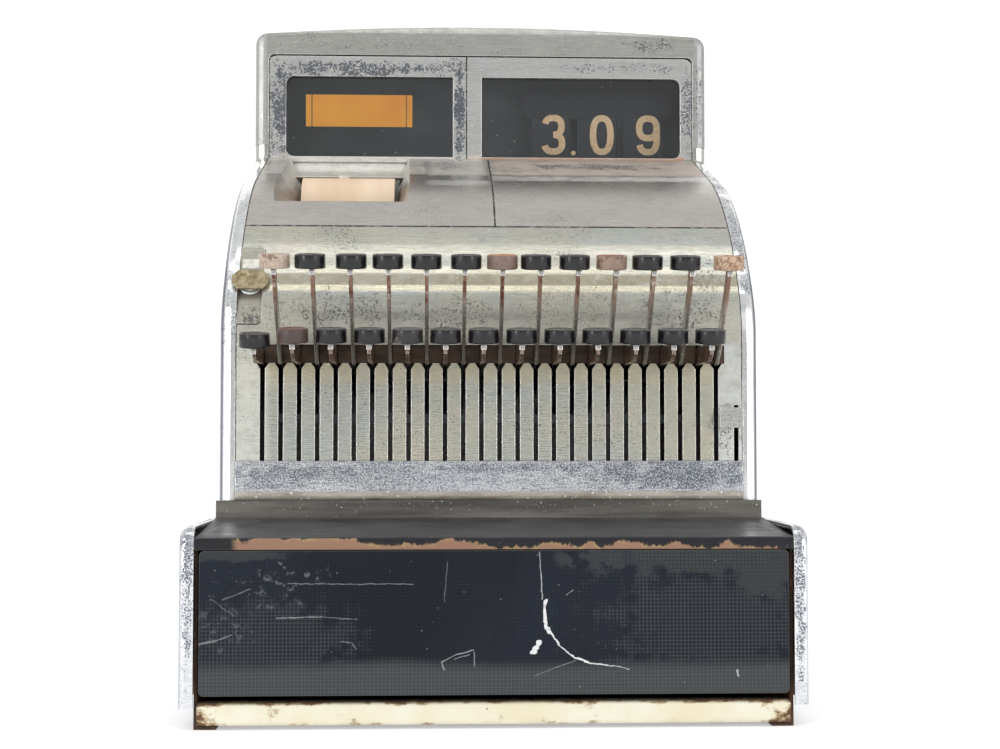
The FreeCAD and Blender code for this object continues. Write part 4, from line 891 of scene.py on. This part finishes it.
frame_steel = machine_steel("frame_steel", (0.28, 0.29, 0.31), (0.45, 0.46, 0.47), 0.15)
for name in (
    "mechanism_frame", "key_shaft", "key_spring_comb", "flag_guide", "roll_spindle", "drawer_latch",
    "drawer_spring",
):
    finish_node(name, frame_steel)

bed_iron, tree, shader = new_material("bed_iron")
grit = noise(tree, 240.0, 5.0)
colour = colour_mix(noise(tree, 16.0, 6.0), (0.05, 0.047, 0.045), (0.13, 0.11, 0.1))
connect(shader, Base_Color=colour, Metallic=0.6, Roughness=0.62, Normal=bump(grit, 0.0005, 0.6))
finish_node("bed_plate", bed_iron)

tray_fibre, tree, shader = new_material("tray_fibre")
grit = noise(tree, 700.0, 4.0)
dirt_and_shade = effect(tree, dirt_and_shade_group, Reach=0.02, Top_Dust=0.5)
worn = effect(tree, edge_group, Radius=0.0015)
colour = coats(colour_mix(noise(tree, 30.0, 6.0), (0.05, 0.042, 0.037), (0.1, 0.085, 0.07)), [
    (worn["Mask"], 0.5, (0.28, 0.23, 0.18)),
    (dirt_and_shade["Dust"], 1, (0.24, 0.21, 0.18)),
])
connect(shader, Base_Color=colour, Roughness=0.58, Normal=bump(grit, 0.0002, 0.5, worn["Normal"]))
finish_node("till_tray", tray_fibre)

# Window panes: plain glass, a little dusty, clipped behind the bezels.
pane_glass, tree, shader = new_material("pane_glass")
smears = between(noise(tree, 11.0, 6.0), 0.5, 0.75, 0.008, 0.05)
connect(
    shader, Base_Color=(0.93, 0.96, 0.95), Metallic=0.0, IOR=1.45, Transmission_Weight=1.0,
    Roughness=smears,
)
for name in ("lid_glass", "indicator_glass"):
    finish_node(name, pane_glass)

# Keys: a flat spring-steel lever bent up through its slot, gone copper-brown with rust above it,
# with a moulded cap pressed on its end. A plated clip under each cap holds it on the lever.
shaft_low, shaft_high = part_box("key_shaft")
comb_y = cover_low.y
shaft_y = (shaft_low.y + shaft_high.y) / 2
shaft_z = (shaft_low.z + shaft_high.z) / 2
shaft_radius = (shaft_high.z - shaft_low.z) / 2
key_names = ["key_%02d" % number for number in range(1, 27)]
key_boxes = {name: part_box(name) for name in key_names}
cap_radius = (key_boxes["key_03"][1].x - key_boxes["key_03"][0].x) / 2
cap_tilt = math.radians(10.0)
cap_thickness = 0.0095
lever_half = 0.0012
stem_half = 0.0045
cover_sheet = 0.0025
eye_half = 0.009
first_cap_x = sum(key_boxes["key_03"][side].x for side in (0, 1)) / 2
last_cap_x = sum(key_boxes["key_25"][side].x for side in (0, 1)) / 2
slot_pitch = (last_cap_x - first_cap_x) / 22
cap_rise = cap_radius * math.sin(cap_tilt) + cap_thickness / 2 * math.cos(cap_tilt)
cap_y = key_boxes["key_03"][0].y + cap_radius * math.cos(cap_tilt) + cap_thickness / 2 * math.sin(cap_tilt)
lower_cap_z = key_boxes["key_03"][1].z - cap_rise
lever_bottom = lower_cap_z - 0.017
lever_top = lever_bottom + 0.012


def slot_x(place):
    return first_cap_x + (place - 2) * slot_pitch


def arc_through(first, middle, last, count):
    """Points of the arc from after first up to last, through middle; each is (y, z)."""
    a, b, c = (Vector((*point, 0)) for point in (first, middle, last))
    u, v = b - a, c - a
    normal = u.cross(v)
    toward = v.length_squared * normal.cross(u) + u.length_squared * v.cross(normal)
    centre = a + toward / (2 * normal.length_squared)
    total = (a - centre).angle(c - centre)
    sign = 1 if (a - centre).cross(c - centre).z > 0 else -1
    points = []
    for step in range(1, count + 1):
        turned = Matrix.Rotation(sign * total * step / count, 3, "Z") @ (a - centre)
        points.append(((centre + turned).x, (centre + turned).y))
    return points


def ease_edges(piece, width, segments=2):
    ease = piece.modifiers.new("eased_edges", "BEVEL")
    ease.width = width
    ease.segments = segments
    ease.limit_method = "ANGLE"
    ease.angle_limit = math.radians(30)
    ease.harden_normals = True


def prism_along_x(name, outline, x0, x1, rounding):
    """A plate with its outline in the YZ plane, its edges eased by a small bevel."""
    count = len(outline)
    points = [(x, y, z) for x in (x0, x1) for y, z in outline]
    faces = [tuple(range(count)), tuple(reversed(range(count, 2 * count)))]
    faces += [(i + count, (i + 1) % count + count, (i + 1) % count, i) for i in range(count)]
    piece = new_mesh_object(name, points, faces, smooth=True)
    ease_edges(piece, rounding)
    return piece


def seat_z(y, cap_z):
    return cap_z - cap_thickness / 2 / math.cos(cap_tilt) + (y - cap_y) * math.tan(cap_tilt)


def lever_outline(cap_z, upper):
    front, rear = cap_y - stem_half, cap_y + stem_half
    rear_top, front_top = (rear, seat_z(rear, cap_z)), (front, seat_z(front, cap_z))
    arm_top, arm_low = (comb_y + cover_sheet, lever_top), (comb_y - stem_half, lever_bottom)
    fork = shaft_radius + 0.00005
    end = shaft_y + eye_half
    line = [
        (end - 0.0045, shaft_z - eye_half), (end, shaft_z - fork), (shaft_y - fork, shaft_z - fork),
        (shaft_y - fork, shaft_z + fork), (end, shaft_z + fork), (end - 0.0045, shaft_z + eye_half), arm_top,
    ]
    if upper:
        bow = 0.004 * math.sqrt(0.5)
        back = ((arm_top[0] + rear_top[0]) / 2 - bow, (arm_top[1] + rear_top[1]) / 2 - bow)
        face = ((arm_low[0] + front_top[0]) / 2 - bow, (arm_low[1] + front_top[1]) / 2 - bow)
        line += arc_through(arm_top, back, rear_top, 12)
        return line + [front_top] + arc_through(front_top, face, arm_low, 12)
    return line + [rear_top, front_top, (front, lever_bottom + stem_half), (rear, lever_bottom), arm_low]


def lathe(name, profile, sides):
    """A turned solid about Z from (radius, height) points, closed on the axis at both ends."""
    points = [(0, 0, profile[0][1])]
    for radius, z in profile:
        for side in range(sides):
            turn = 2 * math.pi * side / sides
            points.append((radius * math.cos(turn), radius * math.sin(turn), z))
    points.append((0, 0, profile[-1][1]))
    faces = [(0, 1 + (side + 1) % sides, 1 + side) for side in range(sides)]
    for ring in range(len(profile) - 1):
        low, high = 1 + ring * sides, 1 + (ring + 1) * sides
        for side in range(sides):
            after = (side + 1) % sides
            faces.append((low + side, low + after, high + after, high + side))
    last = 1 + (len(profile) - 1) * sides
    faces += [(last + side, last + (side + 1) % sides, len(points) - 1) for side in range(sides)]
    return new_mesh_object(name, points, faces, smooth=True)


def cap_profile():
    """Half section of a cap: eased foot, straight side, rounded rim, then a shallow dish."""
    half, ease, rim = cap_thickness / 2, 0.0006, 0.0011
    profile = [(cap_radius * 0.5, -half), (cap_radius - ease, -half), (cap_radius - 0.0002, -half + 0.0002)]
    profile += [(cap_radius, -half + ease), (cap_radius, half - rim)]
    for step in range(1, 5):
        turn = math.radians(90 * step / 4)
        profile.append((cap_radius - rim * (1 - math.cos(turn)), half - rim * (1 - math.sin(turn))))
    profile += [(cap_radius - 0.0021, half), (cap_radius - 0.0026, half - 0.0004)]
    return profile + [(cap_radius * 0.4, half - 0.0006)]


def key_metal(name, pale, brown, patches, rust, from_z=None):
    """Spring steel with rust that grows upward from from_z, darker patches, and bright worn edges."""
    material, tree, shader = new_material(name)
    worn = effect(tree, edge_group, Radius=0.0006, Raggedness=0.8)
    low_rust, high_rust = 0.66 - 0.34 * rust, 0.8 - 0.34 * rust
    patch = between(noise(tree, 75.0, 7.0), low_rust, high_rust)
    if from_z is not None:
        patch = product(patch, between(parts_of(own_place(tree))["Z"], from_z - 0.012, from_z + 0.006))
    deep = product(patch, between(noise(tree, 130.0, 6.0), 0.5, 0.62))
    spots = between(noise(tree, 480.0, 3.0), 0.6, 0.68)
    colour = coats(colour_mix(patch, pale, brown), [
        (deep, 1, patches),
        (spots, 0.7, (0.12, 0.05, 0.03)),
        (worn["Mask"], 0.8, (0.86, 0.74, 0.64)),
    ])
    metal = minus(0.92, product(patch, 0.45))
    rough = plus(between(patch, 0.0, 1.0, 0.26, 0.5), product(spots, 0.2))
    height = minus(noise(tree, 300.0, 4.0), spots)
    normal = bump(height, 0.0002, 0.6, worn["Normal"])
    connect(shader, Base_Color=colour, Metallic=metal, Roughness=rough, Normal=normal)
    return material


def cap_moulding(name, top, side, rim, spot, wear, cracks=0.0):
    """Moulded cap: tones of its top, side, worn rim and spots, and how worn and cracked it is."""
    material, tree, shader = new_material(name)
    flat = add_node(tree, "ShaderNodeNewGeometry").outputs["Normal"]
    upward = parts_of(flat)["Z"]
    worn = effect(tree, edge_group, Radius=0.001, Raggedness=0.9)
    dirt_and_shade = effect(tree, dirt_and_shade_group, Reach=0.003, Top_Dust=0.3)
    blotch = between(noise(tree, 150.0, 6.0), 0.74 - 0.3 * wear, 0.82 - 0.3 * wear)
    scratches = effect(tree, scratch_group, Scale=60.0, Amount=0.8)["Mask"]
    shadow_tone = between(noise(tree, 60.0, 5.0), 0.4, 0.75, 0.0, 0.5)
    colour = coats(colour_mix(between(upward, 0.45, 0.85), side, top), [
        (shadow_tone, 1, shade(side, 0.55)),
        (blotch, 0.85, spot),
        (product(worn["Mask"], 0.25 + 0.6 * wear), 1, rim),
        (scratches, 0.5, rim),
        (dirt_and_shade["Dust"], 0.7, (0.3, 0.27, 0.25)),
    ])
    height = minus(product(noise(tree, 500.0, 3.0), 0.25), blotch)
    if cracks:
        crazed = add_node(tree, "ShaderNodeTexVoronoi", {"feature": "DISTANCE_TO_EDGE"}, {
            "Vector": object_place(tree), "Scale": 260.0})
        crack = product(between(crazed.outputs["Distance"], 0.09, 0.03), cracks)
        colour = colour_mix(crack, colour, shade(spot, 0.5))
        height = minus(height, crack)
    rough = between(noise(tree, 90.0, 4.0), 0.3, 0.7, 0.16 + 0.15 * wear, 0.3 + 0.2 * wear)
    rough = plus(rough, product(blotch, 0.3))
    normal = bump(height, 0.0001 + 0.0003 * wear, 0.6, worn["Normal"])
    connect(shader, Base_Color=colour, Roughness=rough, Normal=normal)
    return material


lower_cap_foot = lower_cap_z - cap_rise
rusty_lever = key_metal(
    "rusty_lever", (0.58, 0.54, 0.5), (0.26, 0.15, 0.1), (0.13, 0.035, 0.02), 0.95, lower_cap_foot + 0.03)
pale_lever = key_metal("pale_lever", (0.36, 0.27, 0.22), (0.16, 0.09, 0.06), (0.1, 0.04, 0.025), 0.6)
black_cap = cap_moulding(
    "black_cap", (0.016, 0.016, 0.018), (0.009, 0.009, 0.011), (0.11, 0.105, 0.11), (0.09, 0.075, 0.07), 0.1)
grey_cap = cap_moulding(
    "grey_cap", (0.06, 0.055, 0.055), (0.025, 0.023, 0.025), (0.32, 0.3, 0.29), (0.17, 0.14, 0.13), 0.6)
rust_cap = cap_moulding(
    "rust_cap", (0.17, 0.05, 0.035), (0.085, 0.062, 0.055), (0.3, 0.1, 0.06), (0.14, 0.07, 0.05), 0.7)
beige_cap = cap_moulding(
    "beige_cap", (0.62, 0.48, 0.38), (0.6, 0.48, 0.38), (0.75, 0.64, 0.53), (0.2, 0.11, 0.07), 0.6, 0.3)
cracked_cap = cap_moulding(
    "cracked_cap", (0.6, 0.38, 0.24), (0.62, 0.43, 0.3), (0.78, 0.62, 0.48), (0.3, 0.13, 0.06), 0.55, 0.7)
orange_cap = cap_moulding(
    "orange_cap", (0.52, 0.2, 0.07), (0.22, 0.15, 0.12), (0.62, 0.36, 0.22), (0.16, 0.08, 0.05), 0.65)
red_cap = cap_moulding(
    "red_cap", (0.36, 0.08, 0.045), (0.34, 0.24, 0.18), (0.5, 0.24, 0.16), (0.14, 0.08, 0.055), 0.65)
worn_caps = {
    "key_02": beige_cap, "key_03": rust_cap, "key_09": grey_cap, "key_14": orange_cap, "key_20": red_cap,
    "key_26": cracked_cap,
}
for place, name in enumerate(key_names):
    upper = place % 2 == 1
    low, high = key_boxes[name]
    cap_z = high.z - cap_rise
    cap_x = (low.x + high.x) / 2
    x = slot_x(place)
    outline = lever_outline(cap_z, upper)
    lever = prism_along_x("lever_" + name[4:], outline, x - lever_half, x + lever_half, 0.00035)
    lever.data.materials.append(rusty_lever if upper else pale_lever)
    cap = lathe("cap_" + name[4:], cap_profile(), 48)
    cap.data.transform(Matrix.Translation((cap_x, cap_y, cap_z)) @ Matrix.Rotation(cap_tilt, 4, "X"))
    cap.data.materials.append(worn_caps.get(name, black_cap))
    clip_y = cap_y - stem_half
    clip_z = seat_z(clip_y, cap_z)
    clip_line = [
        (clip_y - 0.0009, clip_z - 0.0005), (clip_y - 0.0009, clip_z - 0.0042),
        (clip_y + 0.0004, clip_z - 0.0042), (clip_y + 0.0004, clip_z - 0.0003),
    ]
    clip = prism_along_x("clip_" + name[4:], clip_line, x - 0.0018, x + 0.0018, 0.0003)
    clip.data.materials.append(tip_chrome)
    for piece in (lever, cap, clip):
        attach(piece, name)
    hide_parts(name)
    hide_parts(name)

# Felt strip behind the levers' window: a brown felt ribbon, slit for each lever, that keeps
# dust out of the works. It is glued to the inside edge of the front cover.
comb_top = lever_bottom + 0.0139
window_foot = lever_bottom + 0.0011
felt_gap = lever_half + 0.0004
felt_low = comb_y + 0.0007
felt_high = comb_y + 0.0022
felt_points, felt_faces = [], []
window_end = slot_x(25) + 0.0057
felt_edges = [-window_end] + [slot_x(place) for place in range(26)] + [window_end]
for left, right in zip(felt_edges[:-1], felt_edges[1:]):
    x0 = left + (felt_gap if left > -window_end else 0)
    x1 = right - (felt_gap if right < window_end else 0)
    first = len(felt_points)
    felt_points += [
        (x, y, z) for x in (x0, x1) for y in (felt_low, felt_high) for z in (window_foot, comb_top)
    ]
    felt_faces += [
        tuple(first + corner for corner in face)
        for face in ((0, 1, 3, 2), (4, 6, 7, 5), (0, 4, 5, 1), (2, 3, 7, 6), (0, 2, 6, 4), (1, 5, 7, 3))
    ]
felt_strip = new_mesh_object("felt_strip", felt_points, felt_faces)
felt_brown, tree, shader = new_material("felt_brown")
fuzz = noise(tree, 1500.0, 4.0)
patchy = noise(tree, 40.0, 7.0, object_place(tree, (0.5, 1, 1.5)), 0.7)
colour = colour_mix(between(patchy, 0.35, 0.65), (0.04, 0.026, 0.018), (0.12, 0.085, 0.06))
colour = colour_mix(between(fuzz, 0.55, 0.75, 0.0, 0.5), colour, (0.34, 0.25, 0.16))
connect(shader, Base_Color=colour, Roughness=0.95, Normal=bump(fuzz, 0.0006, 0.8))
felt_strip.data.materials.append(felt_brown)
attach(felt_strip, "root")

# Lock: a brass turn plate on the plug, with a keyway cut through it, and a plated ring behind
# it. A card label, left bare, is stuck on the escutcheon over the lock.
key_low, key_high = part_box("lock_key")
lock_joint = next(joint for joint in frame["joints"] if joint["name"] == "lock_turn")
lock_centre = Vector(lock_joint["pos_m"])
lock_normal = Vector(lock_joint["axis"]).normalized()
lock_frame = Matrix.Translation(lock_centre) @ lock_normal.to_track_quat("-Y", "Z").to_matrix().to_4x4()
bow_half_width = (key_high.x - key_low.x) / 2
bow_half_height = 0.0078
bow_sheet = 0.002
plug_proud = 0.0065
plug_radius = 0.0068


def plate_outline(corners, depth_front, depth_back):
    """A plate standing in the XZ plane, from its corner points."""
    count = len(corners)
    points = [(x, y, z) for y in (depth_front, depth_back) for x, z in corners]
    faces = [tuple(range(count)), tuple(reversed(range(count, 2 * count)))]
    faces += [(i, i + count, (i + 1) % count + count, (i + 1) % count) for i in range(count)]
    return points, faces


nip_x, nip_z = bow_half_width * 2 / 3, bow_half_height / 3
hexagon = [(-bow_half_width, -nip_z), (-nip_x, -bow_half_height)]
hexagon += [(nip_x, -bow_half_height), (bow_half_width, -nip_z)]
hexagon += [(-x, -z) for x, z in hexagon]
bow = new_mesh_object("lock_bow", *plate_outline(hexagon, -plug_proud - bow_sheet, -plug_proud), smooth=True)
keyway_line = []
for step in range(24):
    turn = 2 * math.pi * step / 24
    keyway_line.append((-0.0045 + 0.0034 * math.cos(turn), 0.0028 + 0.0018 * math.sin(turn)))
cut_front, cut_back = -plug_proud - 2 * bow_sheet, -plug_proud - 0.0006
cutter = new_mesh_object("keyway", *plate_outline(keyway_line, cut_front, cut_back))
cut = bow.modifiers.new("keyway", "BOOLEAN")
cut.object = cutter
cut.operation = "DIFFERENCE"
ease_edges(bow, 0.0004)
evaluated_bow = bow.evaluated_get(bpy.context.evaluated_depsgraph_get())
bow_mesh = bpy.data.meshes.new_from_object(evaluated_bow)
bow.modifiers.clear()
bow.data = bow_mesh
bpy.data.objects.remove(cutter)
plug = lathe("lock_plug", [
    (plug_radius, -0.0055), (plug_radius, plug_proud - 0.001), (plug_radius - 0.001, plug_proud)], 48)
plug.data.transform(Matrix.Rotation(math.radians(90), 4, "X"))
ring = lathe("lock_ring", [
    (plug_radius + 0.0002, 0.0016), (plug_radius + 0.0019, 0.0016), (plug_radius + 0.0024, 0.0021),
    (plug_radius + 0.0019, 0.003), (plug_radius + 0.0002, 0.003)], 48)
ring.data.transform(Matrix.Rotation(math.radians(90), 4, "X"))

old_brass, tree, shader = new_material("old_brass")
tarnish = noise(tree, 210.0, 6.0)
worn = effect(tree, edge_group, Radius=0.0006)
colour = colour_mix(between(tarnish, 0.35, 0.65), (0.52, 0.43, 0.27), (0.26, 0.21, 0.13))
colour = colour_mix(product(worn["Mask"], 0.7), colour, (0.85, 0.72, 0.45))
connect(
    shader, Base_Color=colour, Metallic=0.95, Roughness=between(tarnish, 0.3, 0.7, 0.25, 0.5),
    Normal=bump(tarnish, 0.0002, 0.5, worn["Normal"]),
)
bow.data.materials.append(old_brass)
plug.data.materials.append(tip_chrome)
ring.data.materials.append(rim_chrome)
for piece, body in ((bow, "lock"), (plug, "lock"), (ring, "root")):
    piece.data.transform(lock_frame)
    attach(piece, body)
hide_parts("lock_key")
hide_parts("lock_key")

label_corners = [(-0.0068, 0.0135), (0.0062, 0.0135), (0.0062, 0.0215), (-0.0068, 0.0215)]
label = new_mesh_object("lock_label", *plate_outline(label_corners, -0.00185, -0.00155))
label.data.transform(lock_frame)
ease_edges(label, 0.0004, 3)
label_card, tree, shader = new_material("label_card")
soiled = noise(tree, 190.0, 6.0)
colour = colour_mix(between(soiled, 0.4, 0.7), (0.82, 0.8, 0.74), (0.55, 0.5, 0.42))
connect(shader, Base_Color=colour, Roughness=0.8, Normal=bump(soiled, 0.0001, 0.4))
label.data.materials.append(label_card)
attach(label, "root")

# Indicator flags: thin steel plates in satin navy black, with tan numerals rolled on. The wide
# flag above them is left bare. A slate screen stands behind them, across the hood, a dark sheet
# standing in for the shade inside it.
flag_black, tree, shader = new_material("flag_black")
mottle = noise(tree, 60.0, 6.0)
worn = effect(tree, edge_group, Radius=0.0006)
colour = colour_mix(between(mottle, 0.35, 0.7), (0.004, 0.005, 0.016), (0.009, 0.011, 0.026))
colour = colour_mix(product(worn["Mask"], 0.5), colour, (0.12, 0.12, 0.13))
connect(shader, Base_Color=colour, Roughness=between(mottle, 0.3, 0.7, 0.36, 0.5),
        Normal=bump(mottle, 0.0001, 0.4, worn["Normal"]))
for name in ("dollar_flag", "dime_flag", "cent_flag", "word_flag"):
    finish_node(name, flag_black)

numeral_tan, tree, shader = new_material("numeral_tan")
rubbed = noise(tree, 330.0, 6.0)
colour = colour_mix(between(rubbed, 0.42, 0.68), (0.98, 0.68, 0.4), (0.86, 0.56, 0.32))
colour = colour_mix(between(rubbed, 0.66, 0.72), colour, (0.12, 0.08, 0.05))
connect(shader, Base_Color=colour, Roughness=0.55, Normal=bump(rubbed, 0.00005, 0.4))


def ribbon(name, line, width, thickness, front_y, closed=False):
    """A flat painted stroke of even width along points in the XZ plane."""
    count = len(line)
    points, faces = [], []
    for i, (x, z) in enumerate(line):
        before = line[i - 1] if closed or i > 0 else line[i]
        after = line[(i + 1) % count] if closed or i < count - 1 else line[i]
        along_x, along_z = after[0] - before[0], after[1] - before[1]
        length = math.hypot(along_x, along_z)
        side_x, side_z = -along_z / length * width / 2, along_x / length * width / 2
        for y in (front_y, front_y + thickness):
            points += [(x - side_x, y, z - side_z), (x + side_x, y, z + side_z)]
    for i in range(count if closed else count - 1):
        a, b = 4 * i, 4 * ((i + 1) % count)
        corners = (0, 1, 3, 2)
        faces += [(a + i, b + i, b + j, a + j) for i, j in zip(corners, corners[1:] + corners[:1])]
    if not closed:
        last = 4 * (count - 1)
        faces += [(0, 1, 3, 2), (last, last + 2, last + 3, last + 1)]
    return new_mesh_object(name, points, faces)


def oval(centre_x, centre_z, half_x, half_z, first, last, steps=36):
    """Part of an upright oval with flattened sides, from one angle to another in degrees."""
    line = []
    for step in range(steps + 1):
        turn = math.radians(first + (last - first) * step / steps)
        squeeze = abs(math.cos(turn)) ** 0.75 * (1 if math.cos(turn) > 0 else -1)
        rise = abs(math.sin(turn)) ** 0.9 * (1 if math.sin(turn) > 0 else -1)
        line.append((centre_x + half_x * squeeze, centre_z + half_z * rise))
    return line


def numeral(kind, x, z, half_x, half_z):
    """Strokes of a numeral about its middle."""
    if kind == "0":
        return [(oval(x, z, half_x, half_z, 0, 360)[:-1], True)]
    if kind == "9":
        head = oval(x, z + half_z * 0.42, half_x, half_z * 0.58, 0, 360)[:-1]
        tail = oval(x, z - half_z * 0.3, half_x, half_z * 0.7, 0, -160, 24)
        return [(head, True), ([(x + half_x, z + half_z * 0.42)] + tail, False)]
    upper = oval(x, z + half_z / 2, half_x * 0.94, half_z / 2, 165, -90, 24)
    lower = oval(x, z - half_z / 2, half_x, half_z / 2, 90, -165, 24)
    return [(upper, False), (lower, False)]


paint = 0.00012
overlap_step = 0.3
stroke_width = 0.0056
numeral_half_x, numeral_half_z = 0.0075, 0.0145
shown_height = 0.0385
numeral_rise = 0.0056
# how far each numeral stands to the right of its flag's middle
for name, kind, off_middle in (
    ("dollar_flag", "3", 0.0022), ("dime_flag", "0", 0.0043), ("cent_flag", "9", 0.0045),
):
    low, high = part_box(name)
    body = name.split("_")[0]
    window_foot_z = high.z - shown_height
    middle_x = (low.x + high.x) / 2 + off_middle
    middle_z = (window_foot_z + high.z) / 2 + numeral_rise
    drawn = numeral(kind, middle_x, middle_z, numeral_half_x, numeral_half_z)
    for number, (line, closed) in enumerate(drawn):
        stroke_y = low.y - paint * (1 + overlap_step * number)
        stroke = ribbon(
            name + "_numeral_%d" % (number + 1), line, stroke_width, paint, stroke_y, closed)
        stroke.data.materials.append(numeral_tan)
        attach(stroke, body)
# The decimal point: a tan disc on a small tab that stands out beside the dollar flag
low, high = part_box("dollar_flag")
tab_sheet = 0.0006
tab_half = 0.0026
tab_root, tab_end = high.x - 0.002, high.x + 0.0054
point_x, point_z, point_radius = high.x + 0.0028, high.z - 0.0295, 0.002
tab_corners = [(tab_root, point_z - tab_half), (tab_end, point_z - tab_half)]
tab_corners += [(tab_end, point_z + tab_half), (tab_root, point_z + tab_half)]
tab = new_mesh_object("decimal_tab", *plate_outline(tab_corners, low.y - tab_sheet, low.y))
tab.data.materials.append(flag_black)
disc_line = []
for step in range(24):
    turn = math.radians(15 * step)
    disc_line.append((point_x + point_radius * math.cos(turn), point_z + point_radius * math.sin(turn)))
disc_front = low.y - tab_sheet - paint
point = new_mesh_object("decimal_point", *plate_outline(disc_line, disc_front, disc_front + paint))
point.data.materials.append(numeral_tan)
for piece in (tab, point):
    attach(piece, "dollar")

# The screen is one solid of the hood's node, a dark sheet standing in for the shade inside the hood:
# slate enamel, dusty, painted over the hood's plating
tree = hood_plating.node_tree
at = parts_of(own_place(tree))
screen_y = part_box("word_flag")[1].y + 0.022
limits = {"X": (-0.1865, 0.1865), "Y": (screen_y - 0.0004, screen_y + 0.0016)}
smears = between(noise(tree, 14.0, 7.0, object_place(tree, (0.5, 1, 1))), 0.4, 0.7)
slate = colour_mix(smears, (0.055, 0.06, 0.075), (0.11, 0.12, 0.14))
crumbs = effect(tree, speckle_group, Per_Metre=260.0, Density=0.05, Size=0.2)["Mask"]
slate = colour_mix(crumbs, slate, (0.7, 0.7, 0.7))
paint_over(hood_plating, zone(at, limits, 0.0001), slate, 0.45)

# Notice strip behind the left pane: a bare card strip in faded orange, with a dark rule near
# each end, tucked into the lid's frame.
strip_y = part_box("lid_glass")[1].y + 0.0006
strip_x0, strip_x1, strip_z0, strip_z1 = -0.147, -0.058, 0.4448, 0.4718
strip_corners = [(strip_x0, strip_z0), (strip_x1, strip_z0), (strip_x1, strip_z1), (strip_x0, strip_z1)]
strip = new_mesh_object("notice_strip", *plate_outline(strip_corners, strip_y, strip_y + 0.0004))
orange_card, tree, shader = new_material("orange_card")
at = parts_of(own_place(tree))
faded = noise(tree, 35.0, 6.0)
fibre = noise(tree, 900.0, 3.0)
nearest_rule = maths("ABSOLUTE", minus(maths("ABSOLUTE", minus(at["X"], (strip_x0 + strip_x1) / 2)), 0.0395))
rule = between(nearest_rule, 0.0006, 0.0004)
colour = coats(colour_mix(between(faded, 0.3, 0.7), (1.0, 0.42, 0.012), (0.93, 0.33, 0.008)), [
    (between(fibre, 0.5, 0.75), 0.2, (0.98, 0.6, 0.2)),
    (rule, 0.85, (0.12, 0.05, 0.02)),
])
connect(shader, Base_Color=colour, Roughness=0.5, Normal=bump(fibre, 0.00005, 0.4))
strip.data.materials.append(orange_card)
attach(strip, "lid")

# Receipt paper: the roll on its spindle in the pocket, browned with age, and a torn white scrap
# that is still caught under the knife edge of the lip.
roll_low, roll_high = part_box("receipt_roll")
aged_paper, tree, shader = new_material("aged_paper")
at = parts_of(own_place(tree))
roll_y = (roll_low.y + roll_high.y) / 2
roll_z = (roll_low.z + roll_high.z) / 2
off_y = minus(at["Y"], roll_y)
off_z = minus(at["Z"], roll_z)
from_spindle = maths("SQRT", plus(product(off_y, off_y), product(off_z, off_z)))
layers = maths("PINGPONG", from_spindle, 0.0003)
fibre = noise(tree, 600.0, 5.0)
bands = noise(tree, 8.0, 4.0, object_place(tree, (6, 0.6, 0.6)))
colour = coats(colour_mix(between(bands, 0.3, 0.7), (0.88, 0.7, 0.52), (0.78, 0.58, 0.41)), [
    (between(fibre, 0.5, 0.7), 0.25, (0.8, 0.68, 0.52)),
    (between(layers, 0.0, 0.0003), 0.2, (0.36, 0.25, 0.16)),
])
connect(shader, Base_Color=colour, Roughness=0.85, Normal=bump(fibre, 0.0001, 0.5))
finish_node("receipt_roll", aged_paper)

lip_edge_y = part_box("right_bezel")[0].y - 0.0236
lip_edge_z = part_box("right_bezel")[1].z - 0.10491
scrap_x = -0.1135
# corners of the scrap, from the middle of the lip's edge
scrap_corners = (
    (-0.0045, -0.0002, 0.0006), (0.005, -0.0002, 0.0006), (0.0036, -0.0016, -0.0042),
    (0.0012, -0.0021, -0.0058), (-0.0008, -0.0017, -0.0044), (-0.0031, -0.0013, -0.0032),
)
scrap_points = [(scrap_x + x, lip_edge_y + y, lip_edge_z + z) for x, y, z in scrap_corners]
scrap = new_mesh_object("paper_scrap", scrap_points, [tuple(range(len(scrap_points)))])
thicken = scrap.modifiers.new("paper_thickness", "SOLIDIFY")
thicken.thickness = 0.00012
scrap.data.materials.append(label_card)
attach(scrap, "lid")
